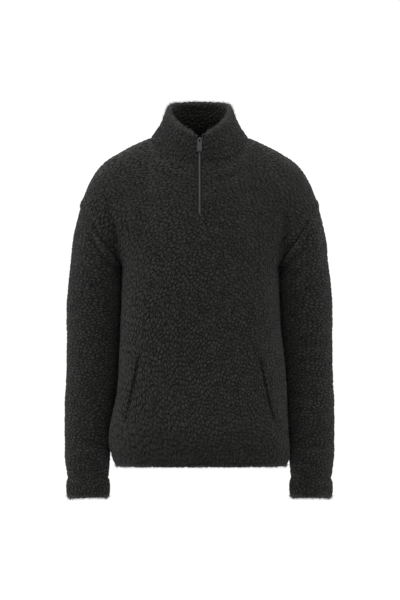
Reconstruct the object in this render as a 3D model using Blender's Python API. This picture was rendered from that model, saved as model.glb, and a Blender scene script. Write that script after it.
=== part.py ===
"""Sherpa sweatshirt with a quarter zip, worn shape with no wearer, sewn from separate cloth walls.

All sizes below are millimetres and are scaled to metres when a mesh is made. +X is the viewer's right,
the front faces -Y, +Z is up. The origin lies midway between the two high points of the shoulders, at the
base of the neck. Left and right are as seen from the front.
"""

import math

import bmesh
import bpy
import numpy as np
from mathutils import Matrix, Vector

MM = 0.001

# Cloth and seams
SHERPA_WALL = 5.0
COLLAR_WALL = 8.0
BAND_WALL = 7.0
WELT_WALL = 4.5
SEAM_GAP = 0.3
ARMHOLE_BIAS = 2.4
UNDERARM_LEAN = 0.35

# Zip
SLIT_HALF = 4.8
COIL_WIDTH = 6.0
COIL_THICK = 2.4
COIL_DEPTH = 2.3
COIL_LIFT = 6.0
STOP_HALF = 1.7
STOP_THICK = 3.2
TAPE_THICK = 1.0
TAPE_GAP = 0.45
TAPE_INNER_X = 1.0
TAPE_OUTER_X = 15.0
SLIDER_WIDTH = 8.0
SLIDER_LENGTH = 11.0
SLIDER_PLATE = 1.5
SLIDER_Z = 6.0
BRIDGE_WIDTH = 1.8
PULL_WIDTH = 9.6
PULL_LENGTH = 30.0
PULL_THICK = 1.3
PULL_BAR = 1.5
PULL_TILT = math.radians(1.5)

# Columns of a half panel, from the centre line (0) to the side seam (1). Column NECK ends the neckline.
FRONT_COLUMNS = (0.0, 0.07, 0.14, 0.21, 0.28, 0.34, 0.40, 0.48, 0.56, 0.64, 0.72, 0.80, 0.87, 0.94, 1.0)
BACK_COLUMNS = (0.0, 0.09, 0.18, 0.26, 0.33, 0.40, 0.48, 0.56, 0.64, 0.72, 0.80, 0.87, 0.94, 1.0)
NECK = 0.40

# Heights of the rows below the underarm, and the share of each column where the rows above it lie.
BODY_HEIGHTS = (-661, -650, -634, -612, -585, -552, -515, -475, -435, -392, -348, -304, -262)
YOKE_SHARES = (0.0, 0.09, 0.18, 0.27, 0.36, 0.46, 0.55, 0.64, 0.73, 0.82, 0.91, 1.0)
SLIT_SHARE = 0.46

# Sections of the body: height, left and right half widths, depth of the side seam, of the front and of the
# back, and how boxy each half is.
BODY = (
    "z left right side front back box_front box_back",
    (-661, 190.0, 192.5, -20, -131, 121, 0.70, 0.62),
    (-650, 193.5, 192.5, -20, -136, 125, 0.71, 0.62),
    (-634, 194.6, 191.0, -20, -138, 126, 0.71, 0.62),
    (-610, 192.0, 189.0, -20, -138, 126, 0.71, 0.62),
    (-580, 185.0, 187.5, -20, -136, 124, 0.71, 0.62),
    (-545, 177.0, 186.5, -20, -134, 121, 0.72, 0.62),
    (-500, 172.5, 184.5, -19, -132, 119, 0.73, 0.62),
    (-440, 170.0, 178.0, -17, -131, 118, 0.74, 0.62),
    (-390, 168.0, 172.5, -14, -132, 118, 0.74, 0.62),
    (-340, 166.0, 170.5, -9, -133, 120, 0.74, 0.64),
    (-300, 164.5, 169.0, -4, -134, 122, 0.73, 0.66),
    (-262, 163.0, 167.0, 2, -134, 124, 0.73, 0.67),
)

# Top edge of a half front: the neckline up to column 0.40, then the shoulder seam. "up" handles leave the
# underarm row, "in" handles reach the top edge.
FRONT_TOP = (
    "u x y z in_x in_y in_z up_x up_y up_z",
    (0.00, 0, -111, -44, 0, -10, -58, 0, -1, 72),
    (0.12, 37, -104, -43, 2, -15, -56, 0, -1, 73),
    (0.24, 69, -83, -34, 5, -28, -50, 0, -1, 76),
    (0.33, 96, -43, -10, 7, -50, -34, 1, -2, 80),
    (0.37, 103, -21, 2, 6, -62, -20, 2, -3, 82),
    (0.40, 107, 2, 9, 4, -72, -10, 2, -4, 84),
    (0.50, 137, 2, -3, 2, -78, -6, 4, -8, 86),
    (0.60, 165, 2, -19, 1, -82, -4, 6, -16, 84),
    (0.70, 193, 2, -34, 0, -86, -4, 8, -30, 76),
    (0.80, 217, 2, -55, 0, -90, -3, 6, -52, 60),
    (0.90, 237, 2, -88, 0, -96, -2, 3, -80, 26),
    (1.00, 252, 2, -128, 0, -101, 0, 0, -101, 0),
)
BACK_TOP = (
    "u x y z in_x in_y in_z up_x up_y up_z",
    (0.00, 0, 80, 20, 0, 38, -44, 0, 8, 96),
    (0.12, 37, 75, 19, 1, 41, -42, 0, 8, 96),
    (0.24, 74, 55, 16, 3, 50, -32, 0, 8, 95),
    (0.33, 99, 26, 11, 4, 62, -18, 1, 9, 93),
    (0.37, 105, 13, 10, 4, 68, -13, 2, 9, 93),
    (0.40, 107, 2, 9, 3, 74, -10, 2, 10, 92),
    (0.50, 137, 2, -3, 2, 80, -6, 4, 14, 90),
    (0.60, 165, 2, -19, 1, 84, -4, 6, 22, 86),
    (0.70, 193, 2, -34, 0, 88, -4, 8, 34, 76),
    (0.80, 217, 2, -55, 0, 92, -3, 6, 54, 60),
    (0.90, 237, 2, -88, 0, 98, -2, 3, 82, 26),
    (1.00, 252, 2, -128, 0, 103, 0, 0, 103, 0),
)

# Sections of a sleeve: the outer end, the inner end on the left and on the right, the middle and the
# half depths. The first one is the armhole itself.
SLEEVE = (
    "out_x out_z left_x right_x in_z mid_y front back",
    (260, -160, 167.0, 171.0, -271, 2, 75, 76),
    (267, -195, 167.5, 171.5, -280, 4, 74, 74),
    (273, -232, 167.2, 171.3, -292, 7, 72, 72),
    (278, -272, 166.5, 170.8, -309, 10, 70, 70),
    (282, -316, 166.0, 170.4, -336, 14, 68, 68),
    (284, -365, 166.8, 171.4, -374, 17, 66, 65),
    (285, -418, 168.6, 175.0, -420, 19, 64, 62),
    (286, -474, 170.8, 180.6, -472, 20, 61, 59),
    (287, -530, 174.2, 185.2, -526, 19, 58, 56),
    (288, -585, 184.2, 187.4, -580, 16, 55, 53),
    (289, -635, 193.2, 190.8, -631, 13, 52, 50),
    (287, -678, 194.0, 193.6, -675, 10, 48, 47),
    (284, -706, 195.5, 196.0, -704, 8, 45, 44),
    (282.5, -719, 196.5, 197.0, -718, 7, 43, 42),
)

# Sections of a cuff below its seam, as offsets from the last section of the sleeve.
CUFF = (
    "drop swell",
    (9, 3.0),
    (24, 3.4),
    (36, 2.2),
    (42, -0.2),
)

# Sections of the hem band below its seam: height, pull-in on the left, the right, the front and the back.
HEM = (
    "z left right front back",
    (-667, 1.5, -0.5, -1.5, -1.5),
    (-679, 4.5, 0.5, -1.5, -1.0),
    (-689, 9.5, 5.0, 1.0, 1.0),
    (-694, 14.0, 10.0, 3.5, 3.5),
)

# Top edge of the collar on its outer side, from the front centre (0) over the side (0.5) to the back (1).
RIM = (
    "a x y z bow",
    (0.00, 0, -89, 13, 1.5),
    (0.12, 20, -84, 21, 1.5),
    (0.25, 43, -66, 37, 1.0),
    (0.38, 62, -35, 56, -2.0),
    (0.50, 69, 0, 75, -4.0),
    (0.65, 63, 34, 83, -3.0),
    (0.80, 42, 57, 86, -2.0),
    (1.00, 0, 68, 87, -1.5),
)
COLLAR_SHARES = (0.0, 0.18, 0.38, 0.60, 0.82, 1.0)

# Soft folds of the cloth: where each runs as seen from the front, half width and height.
FOLDS = (
    "piece x0 z0 x1 z1 width height",
    ("front", -232, -166, -168, -246, 9, 3.0),
    ("front", -205, -150, -160, -222, 14, -2.5),
    ("front", 232, -166, 172, -246, 9, 3.0),
    ("front", 205, -150, 164, -222, 14, -2.5),
    ("front", -158, -262, -112, -400, 26, 3.0),
    ("front", 160, -262, 122, -372, 26, 3.0),
    ("front", -96, -330, -30, -520, 34, -2.5),
    ("front", 104, -300, 52, -470, 34, -2.5),
    ("front", -136, -448, -122, -436, 13, 3.0),
    ("front", 134, -446, 122, -434, 13, 3.0),
    ("front", -150, -640, -60, -610, 22, 3.0),
    ("front", 40, -604, 150, -636, 24, 2.5),
    ("back", -232, -166, -168, -246, 9, 3.0),
    ("back", 232, -166, 172, -246, 9, 3.0),
    ("back", -150, -250, -60, -330, 30, 3.5),
    ("back", 150, -250, 66, -340, 30, 3.5),
    ("back", -120, -400, 110, -430, 26, -2.5),
    ("back", -140, -600, -20, -632, 24, 3.0),
    ("back", 30, -630, 150, -604, 24, 3.0),
    ("sleeve", 262, -178, 206, -250, 12, 3.0),
    ("sleeve", 268, -214, 204, -276, 13, 2.5),
    ("sleeve", 276, -352, 196, -388, 20, 2.5),
    ("sleeve", 268, -470, 206, -448, 20, -2.5),
    ("sleeve", 280, -560, 214, -586, 18, 2.5),
    ("sleeve", 284, -652, 206, -668, 15, 3.0),
    ("sleeve", 280, -694, 210, -690, 10, 1.5),
)

# A pocket welt on the left half: the ends of its edge towards the centre, and its width as seen from the
# front at its top and at its foot, where the body turns away.
WELT_TOP = (-131.0, -457.0)
WELT_BOTTOM = (-159.0, -596.0)
WELT_WIDTH = 26.0
WELT_FOOT = 18.5


def column(table, name):
    """One named column of a table as an array."""
    place = table[0].split().index(name)
    return np.array([row[place] for row in table[1:]], float)


def smooth(x, xs, ys):
    """A curve through the given values that never overshoots them."""
    x = np.clip(np.asarray(x, float), min(xs[0], xs[-1]), max(xs[0], xs[-1]))
    steps = np.diff(xs)
    slopes = np.diff(ys) / steps
    ends = np.zeros(len(xs))
    ends[0], ends[-1] = slopes[0], slopes[-1]
    same = slopes[:-1] * slopes[1:] > 0
    total = slopes[:-1] + slopes[1:]
    ends[1:-1][same] = 2 * slopes[:-1][same] * slopes[1:][same] / total[same]
    i = np.clip(np.searchsorted(xs, x, side="right") - 1, 0, len(xs) - 2)
    t = (x - xs[i]) / steps[i]
    a = (1 + 2 * t) * (1 - t) ** 2 * ys[i] + t * (1 - t) ** 2 * steps[i] * ends[i]
    return a + t * t * (3 - 2 * t) * ys[i + 1] + t * t * (t - 1) * steps[i] * ends[i + 1]


def at(table, key, value, name):
    """A column of a table, read smoothly at any value of its key column."""
    return smooth(value, column(table, key), column(table, name))


def bezier(p0, p1, p2, p3, t):
    """Points of a cubic curve, one for each t."""
    t = np.asarray(t, float)[..., None]
    s = 1 - t
    return s**3 * p0 + 3 * s * s * t * p1 + 3 * s * t * t * p2 + t**3 * p3


def unit(v):
    return v / np.maximum(np.linalg.norm(v, axis=-1, keepdims=True), 1e-9)


def body_row(z, shares, side, front):
    """Half a row of the body below the underarm, from the centre line to the side seam."""
    wide = at(BODY, "z", z, "left" if side < 0 else "right")
    deep = at(BODY, "z", z, "front" if front else "back")
    box = at(BODY, "z", z, "box_front" if front else "box_back")
    seam = at(BODY, "z", z, "side")
    p0 = np.array([0, deep, z])
    p1 = np.array([box * wide, deep, z])
    p2 = np.array([wide, seam + (deep - seam) * box, z])
    p3 = np.array([wide, seam, z])
    return bezier(p0, p1, p2, p3, shares)


def top_edge(top, shares):
    """The top edge of a half panel, with a corner where the neckline meets the shoulder seam."""
    neck = [top[0]] + [row for row in top[1:] if row[0] <= NECK]
    shoulder = [top[0]] + [row for row in top[1:] if row[0] >= NECK]
    points = []
    for share in shares:
        part = neck if share < NECK else shoulder
        points.append([float(at(part, "u", share, name)) for name in ("x", "y", "z")])
    return np.array(points)


def half_panel(side, front):
    """Outer points of half a front or back: rows from the hem seam up, columns from the centre out."""
    shares = np.array(FRONT_COLUMNS if front else BACK_COLUMNS)
    top = FRONT_TOP if front else BACK_TOP
    rows = [body_row(z, shares, side, front) for z in BODY_HEIGHTS]
    chest = rows[-1]
    seam = top_edge(top, shares)
    into = np.stack([at(top, "u", shares, c) for c in ("in_x", "in_y", "in_z")], -1)
    rise = np.stack([at(top, "u", shares, c) for c in ("up_x", "up_y", "up_z")], -1)
    for share in YOKE_SHARES[1:]:
        rows.append(bezier(chest, chest + rise, seam + into, seam, np.full(len(shares), share)))
    grid = np.array(rows)
    if front:
        grid[:, 0, 0] = SLIT_HALF
    return grid * np.array([side, 1, 1])


def whole_panel(front):
    """Both halves of a panel as one grid, columns from left to right."""
    left = half_panel(-1, front)[:, ::-1]
    right = half_panel(1, front)
    return np.concatenate([left, right if front else right[:, 1:]], axis=1)


def armhole(side):
    """The points of an armhole, from the underarm up the front and down the back."""
    last = len(BODY_HEIGHTS) - 1
    front = half_panel(side, True)[last:, -1]
    back = half_panel(side, False)[last:, -1]
    return np.concatenate([front, back[-2:0:-1]])


def half_loop(inner, outer, depth):
    """Half a ring of a sleeve between its inner and outer end, bulging by the depth."""
    bulge = np.array([0, depth * 4 / 3, 0])
    return bezier(inner, inner + bulge, outer + bulge, outer, YOKE_SHARES)


def sleeve_rings(side):
    """Outer points of a sleeve: rings from the armhole to the cuff seam."""
    rings = [armhole(side)]
    names = SLEEVE[0].split()
    count = len(SLEEVE) - 1
    steps = np.linspace(0, count - 1, 18)
    place = np.arange(count, dtype=float)
    read = {name: smooth(steps, place, column(SLEEVE, name)) for name in names}
    for i in range(len(steps)):
        inner_x = read["left_x" if side < 0 else "right_x"][i]
        inner = np.array([side * inner_x, read["mid_y"][i], read["in_z"][i]])
        outer = np.array([side * read["out_x"][i], read["mid_y"][i], read["out_z"][i]])
        front = half_loop(inner, outer, -read["front"][i])
        back = half_loop(inner, outer, read["back"][i])
        rings.append(np.concatenate([front, back[-2:0:-1]]))
    return np.array(rings)


def cuff_rings(side):
    """Outer points of a cuff: the sleeve's last ring, then rings that swell out and turn in."""
    seam = sleeve_rings(side)[-1]
    middle = seam.mean(axis=0)
    rings = [seam]
    for drop, swell in zip(column(CUFF, "drop"), column(CUFF, "swell")):
        out = unit((seam - middle) * np.array([1, 1, 0]))
        rings.append(seam + out * swell - np.array([0, 0, drop]))
    return np.array(rings)


def hem_rings():
    """Outer points of the hem band: the body's hem seam, then rings below it, all round the body."""
    front = whole_panel(True)[0]
    back = whole_panel(False)[0]
    seam = np.concatenate([front, back[-2:0:-1]])
    rings = [seam]
    wide = np.where(seam[:, 0] < 0, -seam[:, 0].min(), seam[:, 0].max())
    turn = (np.abs(seam[:, 0]) / wide) ** 3
    for row in HEM[1:]:
        z, left, right, ahead, behind = row
        ring = seam.copy()
        ring[:, 2] = z
        pull = np.where(seam[:, 0] < 0, left, right)
        ring[:, 0] -= np.sign(seam[:, 0]) * pull * turn
        from_side = seam[:, 1] - column(BODY, "side")[0]
        depth = np.where(from_side < 0, ahead, -behind)
        ring[:, 1] += depth * np.clip(np.abs(from_side) / 110, 0, 1)
        rings.append(ring)
    return np.array(rings)


def collar_columns():
    """Neckline points from the left of the slit round the back to the right, and how far round each is."""
    neck_front = FRONT_COLUMNS.index(NECK)
    neck_back = BACK_COLUMNS.index(NECK)
    front_share = np.array(FRONT_COLUMNS[: neck_front + 1]) / NECK / 2
    back_share = 1 - np.array(BACK_COLUMNS[: neck_back + 1]) / NECK / 2
    points, around, sides = [], [], []
    for side in (-1, 1):
        front = half_panel(side, True)[-1, : neck_front + 1]
        back = half_panel(side, False)[-1, : neck_back + 1]
        half = np.concatenate([front, back[-2::-1]])
        share = np.concatenate([front_share, back_share[-2::-1]])
        points.append(half if side < 0 else half[-2::-1])
        around.append(share if side < 0 else share[-2::-1])
        sides.append(np.full(len(points[-1]), side))
    return np.concatenate(points), np.concatenate(around), np.concatenate(sides)


def collar_rows():
    """Outer points of the collar: rows from the neckline to the top edge."""
    base, around, sides = collar_columns()
    rim = np.stack([at(RIM, "a", around, c) for c in ("x", "y", "z")], -1)
    bow = at(RIM, "a", around, "bow")[:, None]
    rim[:, 0] *= sides
    rim[0, 0], rim[-1, 0] = -SLIT_HALF, SLIT_HALF
    out = unit((rim + base) * np.array([1, 1, 0]))
    first = base + (rim - base) * 0.33 + out * bow * 2
    second = base + (rim - base) * 0.67 + out * bow
    rows = [bezier(base, first, second, rim, np.full(len(base), s)) for s in COLLAR_SHARES]
    rows = np.array(rows)
    rows[:, 0, 0], rows[:, -1, 0] = -SLIT_HALF, SLIT_HALF
    return rows


def grid_normals(grid, wraps):
    """Unit vectors at right angles to a grid of points."""
    if wraps:
        across = np.roll(grid, -1, axis=1) - np.roll(grid, 1, axis=1)
    else:
        across = np.gradient(grid, axis=1)
    return unit(np.cross(across, np.gradient(grid, axis=0)))


def fold_height(points, piece):
    """How far the soft folds of a piece push each point out."""
    height = np.zeros(points.shape[:-1])
    for row in FOLDS[1:]:
        name, x0, z0, x1, z1, width, rise = row
        if name != piece:
            continue
        seen = points[..., [0, 2]]
        if piece == "sleeve":
            seen = np.abs(seen) * np.array([1, -1])
        start, end = np.array([x0, z0], float), np.array([x1, z1], float)
        along = np.clip(((seen - start) @ (end - start)) / ((end - start) @ (end - start)), 0, 1)
        away = np.linalg.norm(seen - start - along[..., None] * (end - start), axis=-1)
        height += rise * np.exp(-((away / width) ** 2))
    return height


class Sheet:
    """A piece of cloth: outer points, the way in, a wall, and which borders are seams."""

    def __init__(self, name, grid, wall, wraps=False, out=1, seams=(), weight=1.0):
        self.name, self.wraps, self.seams, self.weight = name, wraps, seams, weight
        self.grid = np.array(grid, float)
        self.normals = grid_normals(self.grid, wraps) * out
        self.out = out
        self.wall = np.array(np.broadcast_to(np.asarray(wall, float), self.grid.shape[:2]))
        if "first_row" in seams:
            self.wall[0] = SHERPA_WALL
        self.inward = None
        self.cut = set()
        self.rounded = None
        self.nudge = 0.0

    def fold(self, piece, hold):
        """Adds the soft folds, fading to nothing at the borders that are held by seams."""
        fade = np.ones(self.grid.shape[:2])
        for edge in hold:
            fade[edge] = 0
        self.grid = self.grid + self.normals * (fold_height(self.grid, piece) * fade)[..., None]
        self.normals = grid_normals(self.grid, self.wraps) * self.out

    def keys(self):
        return [tuple(np.round(p, 2)) for p in self.grid.reshape(-1, 3)]


def share_normals(sheets, rings):
    """Where pieces meet they lean the same way, so that their end faces run side by side."""
    total = {}
    for sheet in sheets:
        for key, normal in zip(sheet.keys(), sheet.normals.reshape(-1, 3)):
            total[key] = total.get(key, 0) + normal * sheet.weight
    for ring in rings:
        middle, underarm = ring.mean(axis=0), ring[0]
        down = np.array([math.copysign(UNDERARM_LEAN, middle[0]), 0, -1])
        for point in ring:
            key = tuple(np.round(point, 2))
            near = math.exp(-(((point - underarm)[1] / 45) ** 2)) * (point[2] < middle[2])
            bias = unit(point - middle) * (1 - near) + down * near
            total[key] = total[key] + bias * ARMHOLE_BIAS
    for sheet in sheets:
        found = np.array([total[key] for key in sheet.keys()])
        found = found.reshape(sheet.grid.shape)
        beside_slit = np.isclose(np.abs(sheet.grid[..., 0]), SLIT_HALF) & (sheet.grid[..., 1] < 0)
        found[beside_slit] *= np.array([0, 1, 1])
        sheet.inward = -unit(found)


def border_shift(line, inside, inward, closed=False):
    """Moves each point of a border into its piece, square to the border and to the wall."""
    ahead = np.roll(line, -1, axis=0) if closed else line[1:]
    here = line if closed else line[:-1]
    lean = inward + np.roll(inward, -1, axis=0) if closed else inward[:-1] + inward[1:]
    within = inside + np.roll(inside, -1, axis=0) if closed else inside[:-1] + inside[1:]
    side = unit(np.cross(ahead - here, lean))
    side *= np.sign(np.sum(side * (within - here - ahead), axis=-1, keepdims=True))
    before = np.roll(side, 1, axis=0) if closed else np.concatenate([side[:1], side])
    after = side if closed else np.concatenate([side, side[-1:]])
    spread = 1 + np.sum(before * after, axis=-1, keepdims=True)
    return (before + after) / np.maximum(spread, 0.6) * SEAM_GAP / 2


def open_seams(sheet):
    """Pulls each seam border back by half of the gap."""
    grid, way = sheet.grid, sheet.inward
    moved = np.zeros_like(grid)
    if "first_row" in sheet.seams:
        moved[0] += border_shift(grid[0], grid[1], way[0], sheet.wraps)
    if "last_row" in sheet.seams:
        moved[-1] += border_shift(grid[-1], grid[-2], way[-1], sheet.wraps)
    if "sides" in sheet.seams:
        moved[:, 0] += border_shift(grid[:, 0], grid[:, 1], way[:, 0])
        moved[:, -1] += border_shift(grid[:, -1], grid[:, -2], way[:, -1])
    moved[0, 0, 0] += sheet.nudge
    sheet.grid = grid + moved


def split(points, a, b, c, d):
    """Two triangles for a quad, across its shorter diagonal."""
    if np.linalg.norm(points[a] - points[c]) < np.linalg.norm(points[b] - points[d]):
        return [(a, b, c), (a, c, d)]
    return [(a, b, d), (b, c, d)]


def sheet_mesh(sheet):
    """The closed wall of a sheet: outer faces, inner faces, and an edge face along each border."""
    rows, cols = sheet.grid.shape[:2]
    inner = sheet.grid + sheet.inward * sheet.wall[..., None]
    points = np.concatenate([sheet.grid.reshape(-1, 3), inner.reshape(-1, 3)])
    half = rows * cols
    extra = []
    faces = []
    edges = {}
    for r in range(rows - 1):
        for c in range(cols if sheet.wraps else cols - 1):
            if (r, c) in sheet.cut:
                continue
            n = (c + 1) % cols
            corners = [r * cols + c, r * cols + n, (r + 1) * cols + n, (r + 1) * cols + c]
            if sheet.out < 0:
                corners = corners[::-1]
            faces += split(points, *corners)
            faces += split(points, *[half + k for k in corners[::-1]])
            for a, b in zip(corners, corners[1:] + corners[:1]):
                edges[(a, b)] = True
    round_row = None
    if sheet.rounded is not None:
        edge, beyond = sheet.rounded
        round_row = 0 if edge == "first" else rows - 1
        back = 1 if edge == "first" else rows - 2
        away = unit(sheet.grid[round_row] - sheet.grid[back])
        middle = (sheet.grid[round_row] + inner[round_row]) / 2 + away * beyond
        extra = list(middle)
    for a, b in edges:
        if (b, a) in edges:
            continue
        if round_row is not None and a // cols == round_row and b // cols == round_row:
            ma, mb = 2 * half + a % cols, 2 * half + b % cols
            both = np.concatenate([points, np.array(extra)])
            faces += split(both, b, a, ma, mb)
            faces += split(both, mb, ma, half + a, half + b)
            continue
        faces += wall_face(points, sheet, a, b, half, cols, round_row)
    if extra:
        points = np.concatenate([points, np.array(extra)])
    return points, faces


def edge_face(points, a, b, half):
    """Two triangles of an edge face. The point further back decides the diagonal, so that the end faces
    of two pieces that meet are cut the same way."""
    if points[a] @ (0.31, 1.0, 0.17) > points[b] @ (0.31, 1.0, 0.17):
        return [(b, a, half + b), (a, half + a, half + b)]
    return [(b, a, half + a), (b, half + a, half + b)]


def wall_face(points, sheet, a, b, half, cols, round_row):
    """An edge face, which takes in the rounded edge's middle point where it ends there."""
    faces = edge_face(points, a, b, half)
    if round_row is None:
        return faces
    for k in (a, b):
        if k // cols != round_row:
            continue
        middle = 2 * half + k % cols
        if k == a:
            faces.append((a, middle, half + a))
        else:
            faces.append((half + b, middle, b))
    return faces


def make_object(name, points, faces, material, smooth_angle=40):
    """A mesh object from points in millimetres."""
    mesh = bpy.data.meshes.new(name)
    mesh.from_pydata([tuple(p) for p in np.asarray(points) * MM], [], faces)
    mesh.validate()
    bm = bmesh.new()
    bm.from_mesh(mesh)
    bmesh.ops.recalc_face_normals(bm, faces=bm.faces)
    bm.to_mesh(mesh)
    bm.free()
    obj = bpy.data.objects.new(name, mesh)
    bpy.context.scene.collection.objects.link(obj)
    mesh.materials.append(material)
    mesh.shade_smooth()
    mesh.set_sharp_from_angle(angle=math.radians(smooth_angle))
    return obj


def material(name, colour, roughness, metallic=0.0):
    made = bpy.data.materials.new(name)
    made.use_nodes = True
    shader = made.node_tree.nodes["Principled BSDF"]
    shader.inputs["Base Color"].default_value = (*colour, 1.0)
    shader.inputs["Roughness"].default_value = roughness
    shader.inputs["Metallic"].default_value = metallic
    return made


def sherpa(name):
    return material(name, (0.020, 0.020, 0.019), 0.95)


def metal(name):
    return material(name, (0.30, 0.30, 0.31), 0.35, 1.0)


def tape_cloth(name):
    return material(name, (0.012, 0.012, 0.012), 0.85)


def body_sheets():
    """The front with its slit for the zip, and the back."""
    front = Sheet("front", whole_panel(True), SHERPA_WALL, seams=("first_row", "last_row", "sides"))
    back = Sheet("back", whole_panel(False), SHERPA_WALL, out=-1,
                 seams=("first_row", "last_row", "sides"))
    middle = len(FRONT_COLUMNS) - 1
    slit = len(BODY_HEIGHTS) - 1 + YOKE_SHARES.index(SLIT_SHARE)
    hold = [(0, slice(None)), (-1, slice(None)), (slice(None), 0), (slice(None), -1)]
    front.fold("front", hold + [(slice(None), middle), (slice(None), middle + 1)])
    back.fold("back", hold)
    for row in range(slit, front.grid.shape[0] - 1):
        front.cut.add((row, middle))
    return front, back


def sleeve_sheets(side, word):
    """A sleeve and its cuff."""
    out = -side
    sleeve = Sheet("sleeve_" + word, sleeve_rings(side), SHERPA_WALL, wraps=True, out=out,
                   seams=("first_row", "last_row"), weight=2.0)
    sleeve.fold("sleeve", [(0, slice(None)), (-1, slice(None))])
    sleeve.nudge = side * SEAM_GAP
    cuff = Sheet("cuff_" + word, cuff_rings(side), BAND_WALL, wraps=True, out=out,
                 seams=("first_row",))
    cuff.rounded = ("last", BAND_WALL * 0.4)
    return sleeve, cuff


def collar_sheet():
    """The stand collar, open at the front for the zip and thinner beside it."""
    rows = collar_rows()
    from_slit = np.abs(rows[..., 0]) - SLIT_HALF
    behind = rows[..., 1] > 0
    near = np.where(behind, 1, np.clip(from_slit / 30, 0, 1))
    wall = SHERPA_WALL + (COLLAR_WALL - SHERPA_WALL) * near
    collar = Sheet("collar", rows, wall, out=-1, seams=("first_row",))
    collar.rounded = ("last", 3.2)
    return collar


def hem_sheet():
    """The turned band at the hem."""
    hem = Sheet("hem_band", hem_rings(), BAND_WALL, wraps=True, out=-1, seams=("first_row",))
    hem.rounded = ("last", BAND_WALL * 0.4)
    return hem


def clear_scene():
    for old in list(bpy.data.objects):
        bpy.data.objects.remove(old, do_unlink=True)


def outer_patch(front, planes, lift):
    """The part of the front's outer faces inside four planes, moved out by the lift, as a bmesh."""
    rows, cols = front.grid.shape[:2]
    points = front.grid.reshape(-1, 3)
    bm = bmesh.new()
    verts = [bm.verts.new(Vector(p)) for p in points]
    for r in range(rows - 1):
        for c in range(cols - 1):
            k = r * cols + c
            for tri in split(points, k, k + 1, k + cols + 1, k + cols):
                bm.faces.new([verts[i] for i in tri])
    for place, normal in planes:
        parts = list(bm.verts) + list(bm.edges) + list(bm.faces)
        bmesh.ops.bisect_plane(bm, geom=parts, dist=1e-4, plane_co=place, plane_no=normal,
                               clear_outer=True)
    loose = [v for v in bm.verts if not v.link_faces]
    bmesh.ops.delete(bm, geom=loose, context="VERTS")
    bm.normal_update()
    for vert, way in [(v, v.normal.copy()) for v in bm.verts]:
        vert.co += way * lift
    return bm


def pocket_welt(front, side, word):
    """A folded strip sewn on the front, cut from the front's own surface and moved out."""
    top = Vector((-side * WELT_TOP[0], 0, WELT_TOP[1]))
    low = Vector((-side * WELT_BOTTOM[0], 0, WELT_BOTTOM[1]))
    along = (top - low).normalized()
    outward = Vector((side, 0, 0))
    across = (outward - along * along.dot(outward)).normalized()
    far_top, far_low = top + across * WELT_WIDTH, low + across * WELT_FOOT
    edge = (far_top - far_low).normalized()
    planes = [(top, along), (low, -along), (top, -across)]
    planes.append((far_top, (across - edge * edge.dot(across)).normalized()))
    planes.append((Vector((0, -40, 0)), Vector((0, 1, 0))))
    bm = outer_patch(front, planes, SEAM_GAP)
    bm.normal_update()
    base = {v: (v.co.copy(), v.normal.copy()) for v in bm.verts}
    rim = {v for e in bm.edges if e.is_boundary for v in e.verts}
    made = bmesh.ops.extrude_face_region(bm, geom=list(bm.faces), use_keep_orig=True)
    lifted = [v for v in made["geom"] if isinstance(v, bmesh.types.BMVert)]
    places = {tuple(round(c, 4) for c in co): (normal, v in rim) for v, (co, normal) in base.items()}
    for vert in lifted:
        normal, at_rim = places[tuple(round(c, 4) for c in vert.co)]
        vert.co += normal * (WELT_WALL * (0.72 if at_rim else 1.0))
    bmesh.ops.recalc_face_normals(bm, faces=bm.faces)
    name = "pocket_welt_" + word
    mesh = bpy.data.meshes.new(name)
    bmesh.ops.scale(bm, vec=(MM, MM, MM), verts=bm.verts)
    bm.to_mesh(mesh)
    bm.free()
    obj = bpy.data.objects.new(name, mesh)
    bpy.context.scene.collection.objects.link(obj)
    mesh.materials.append(sherpa(name))
    mesh.shade_smooth()
    mesh.set_sharp_from_angle(angle=math.radians(40))
    return obj


def slit_line(front, collar, side):
    """Outer points and inner directions of the cloth beside the slit, from its bottom to the top edge,
    with the next column out and the walls."""
    middle = len(FRONT_COLUMNS) - 1
    edge, beside = (middle, middle - 1) if side < 0 else (middle + 1, middle + 2)
    start = len(BODY_HEIGHTS) - 1 + YOKE_SHARES.index(SLIT_SHARE)
    low = [(front, r, edge, beside) for r in range(start - 1, front.grid.shape[0] - 1)]
    edge, beside = (0, 1) if side < 0 else (-1, -2)
    high = [(collar, r, edge, beside) for r in range(collar.grid.shape[0])]
    return low + high


def inner_point(sheet, row, col):
    return sheet.grid[row, col] + sheet.inward[row, col] * sheet.wall[row, col]


def zip_tape(front, collar, side, word):
    """A tape behind the cloth beside the slit, made from the cloth's inner points moved in."""
    faces_front = []
    for sheet, row, edge, beside in slit_line(front, collar, side):
        near, far = inner_point(sheet, row, edge), inner_point(sheet, row, beside)
        way = (far - near) / abs(far[0] - near[0])
        into = sheet.inward[row, edge]
        flat = unit(into * np.array([0, 1, 1]))
        line = [near + flat * TAPE_GAP, near + way * (TAPE_OUTER_X - SLIT_HALF) + into * TAPE_GAP]
        first = line[0].copy()
        first[0] = side * TAPE_INNER_X
        faces_front.append([first] + line)
    grid = np.array(faces_front)
    if side < 0:
        grid = grid[:, ::-1]
    tape = Sheet("zip_tape_" + word, grid, TAPE_THICK)
    tape.inward = -tape.normals
    points, faces = sheet_mesh(tape)
    return make_object(tape.name, points, faces, tape_cloth(tape.name))


def zip_path(front, collar):
    """The middle line of the slit on the outer side of the cloth: places and ways out, in the YZ plane."""
    line = slit_line(front, collar, 1)[1:]
    places = np.array([sheet.grid[row, edge] for sheet, row, edge, _ in line])
    places[:, 0] = 0
    step = unit(np.gradient(places, axis=0))
    out = np.stack([np.zeros(len(step)), -step[:, 2], step[:, 1]], -1)
    return places, step, out


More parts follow.
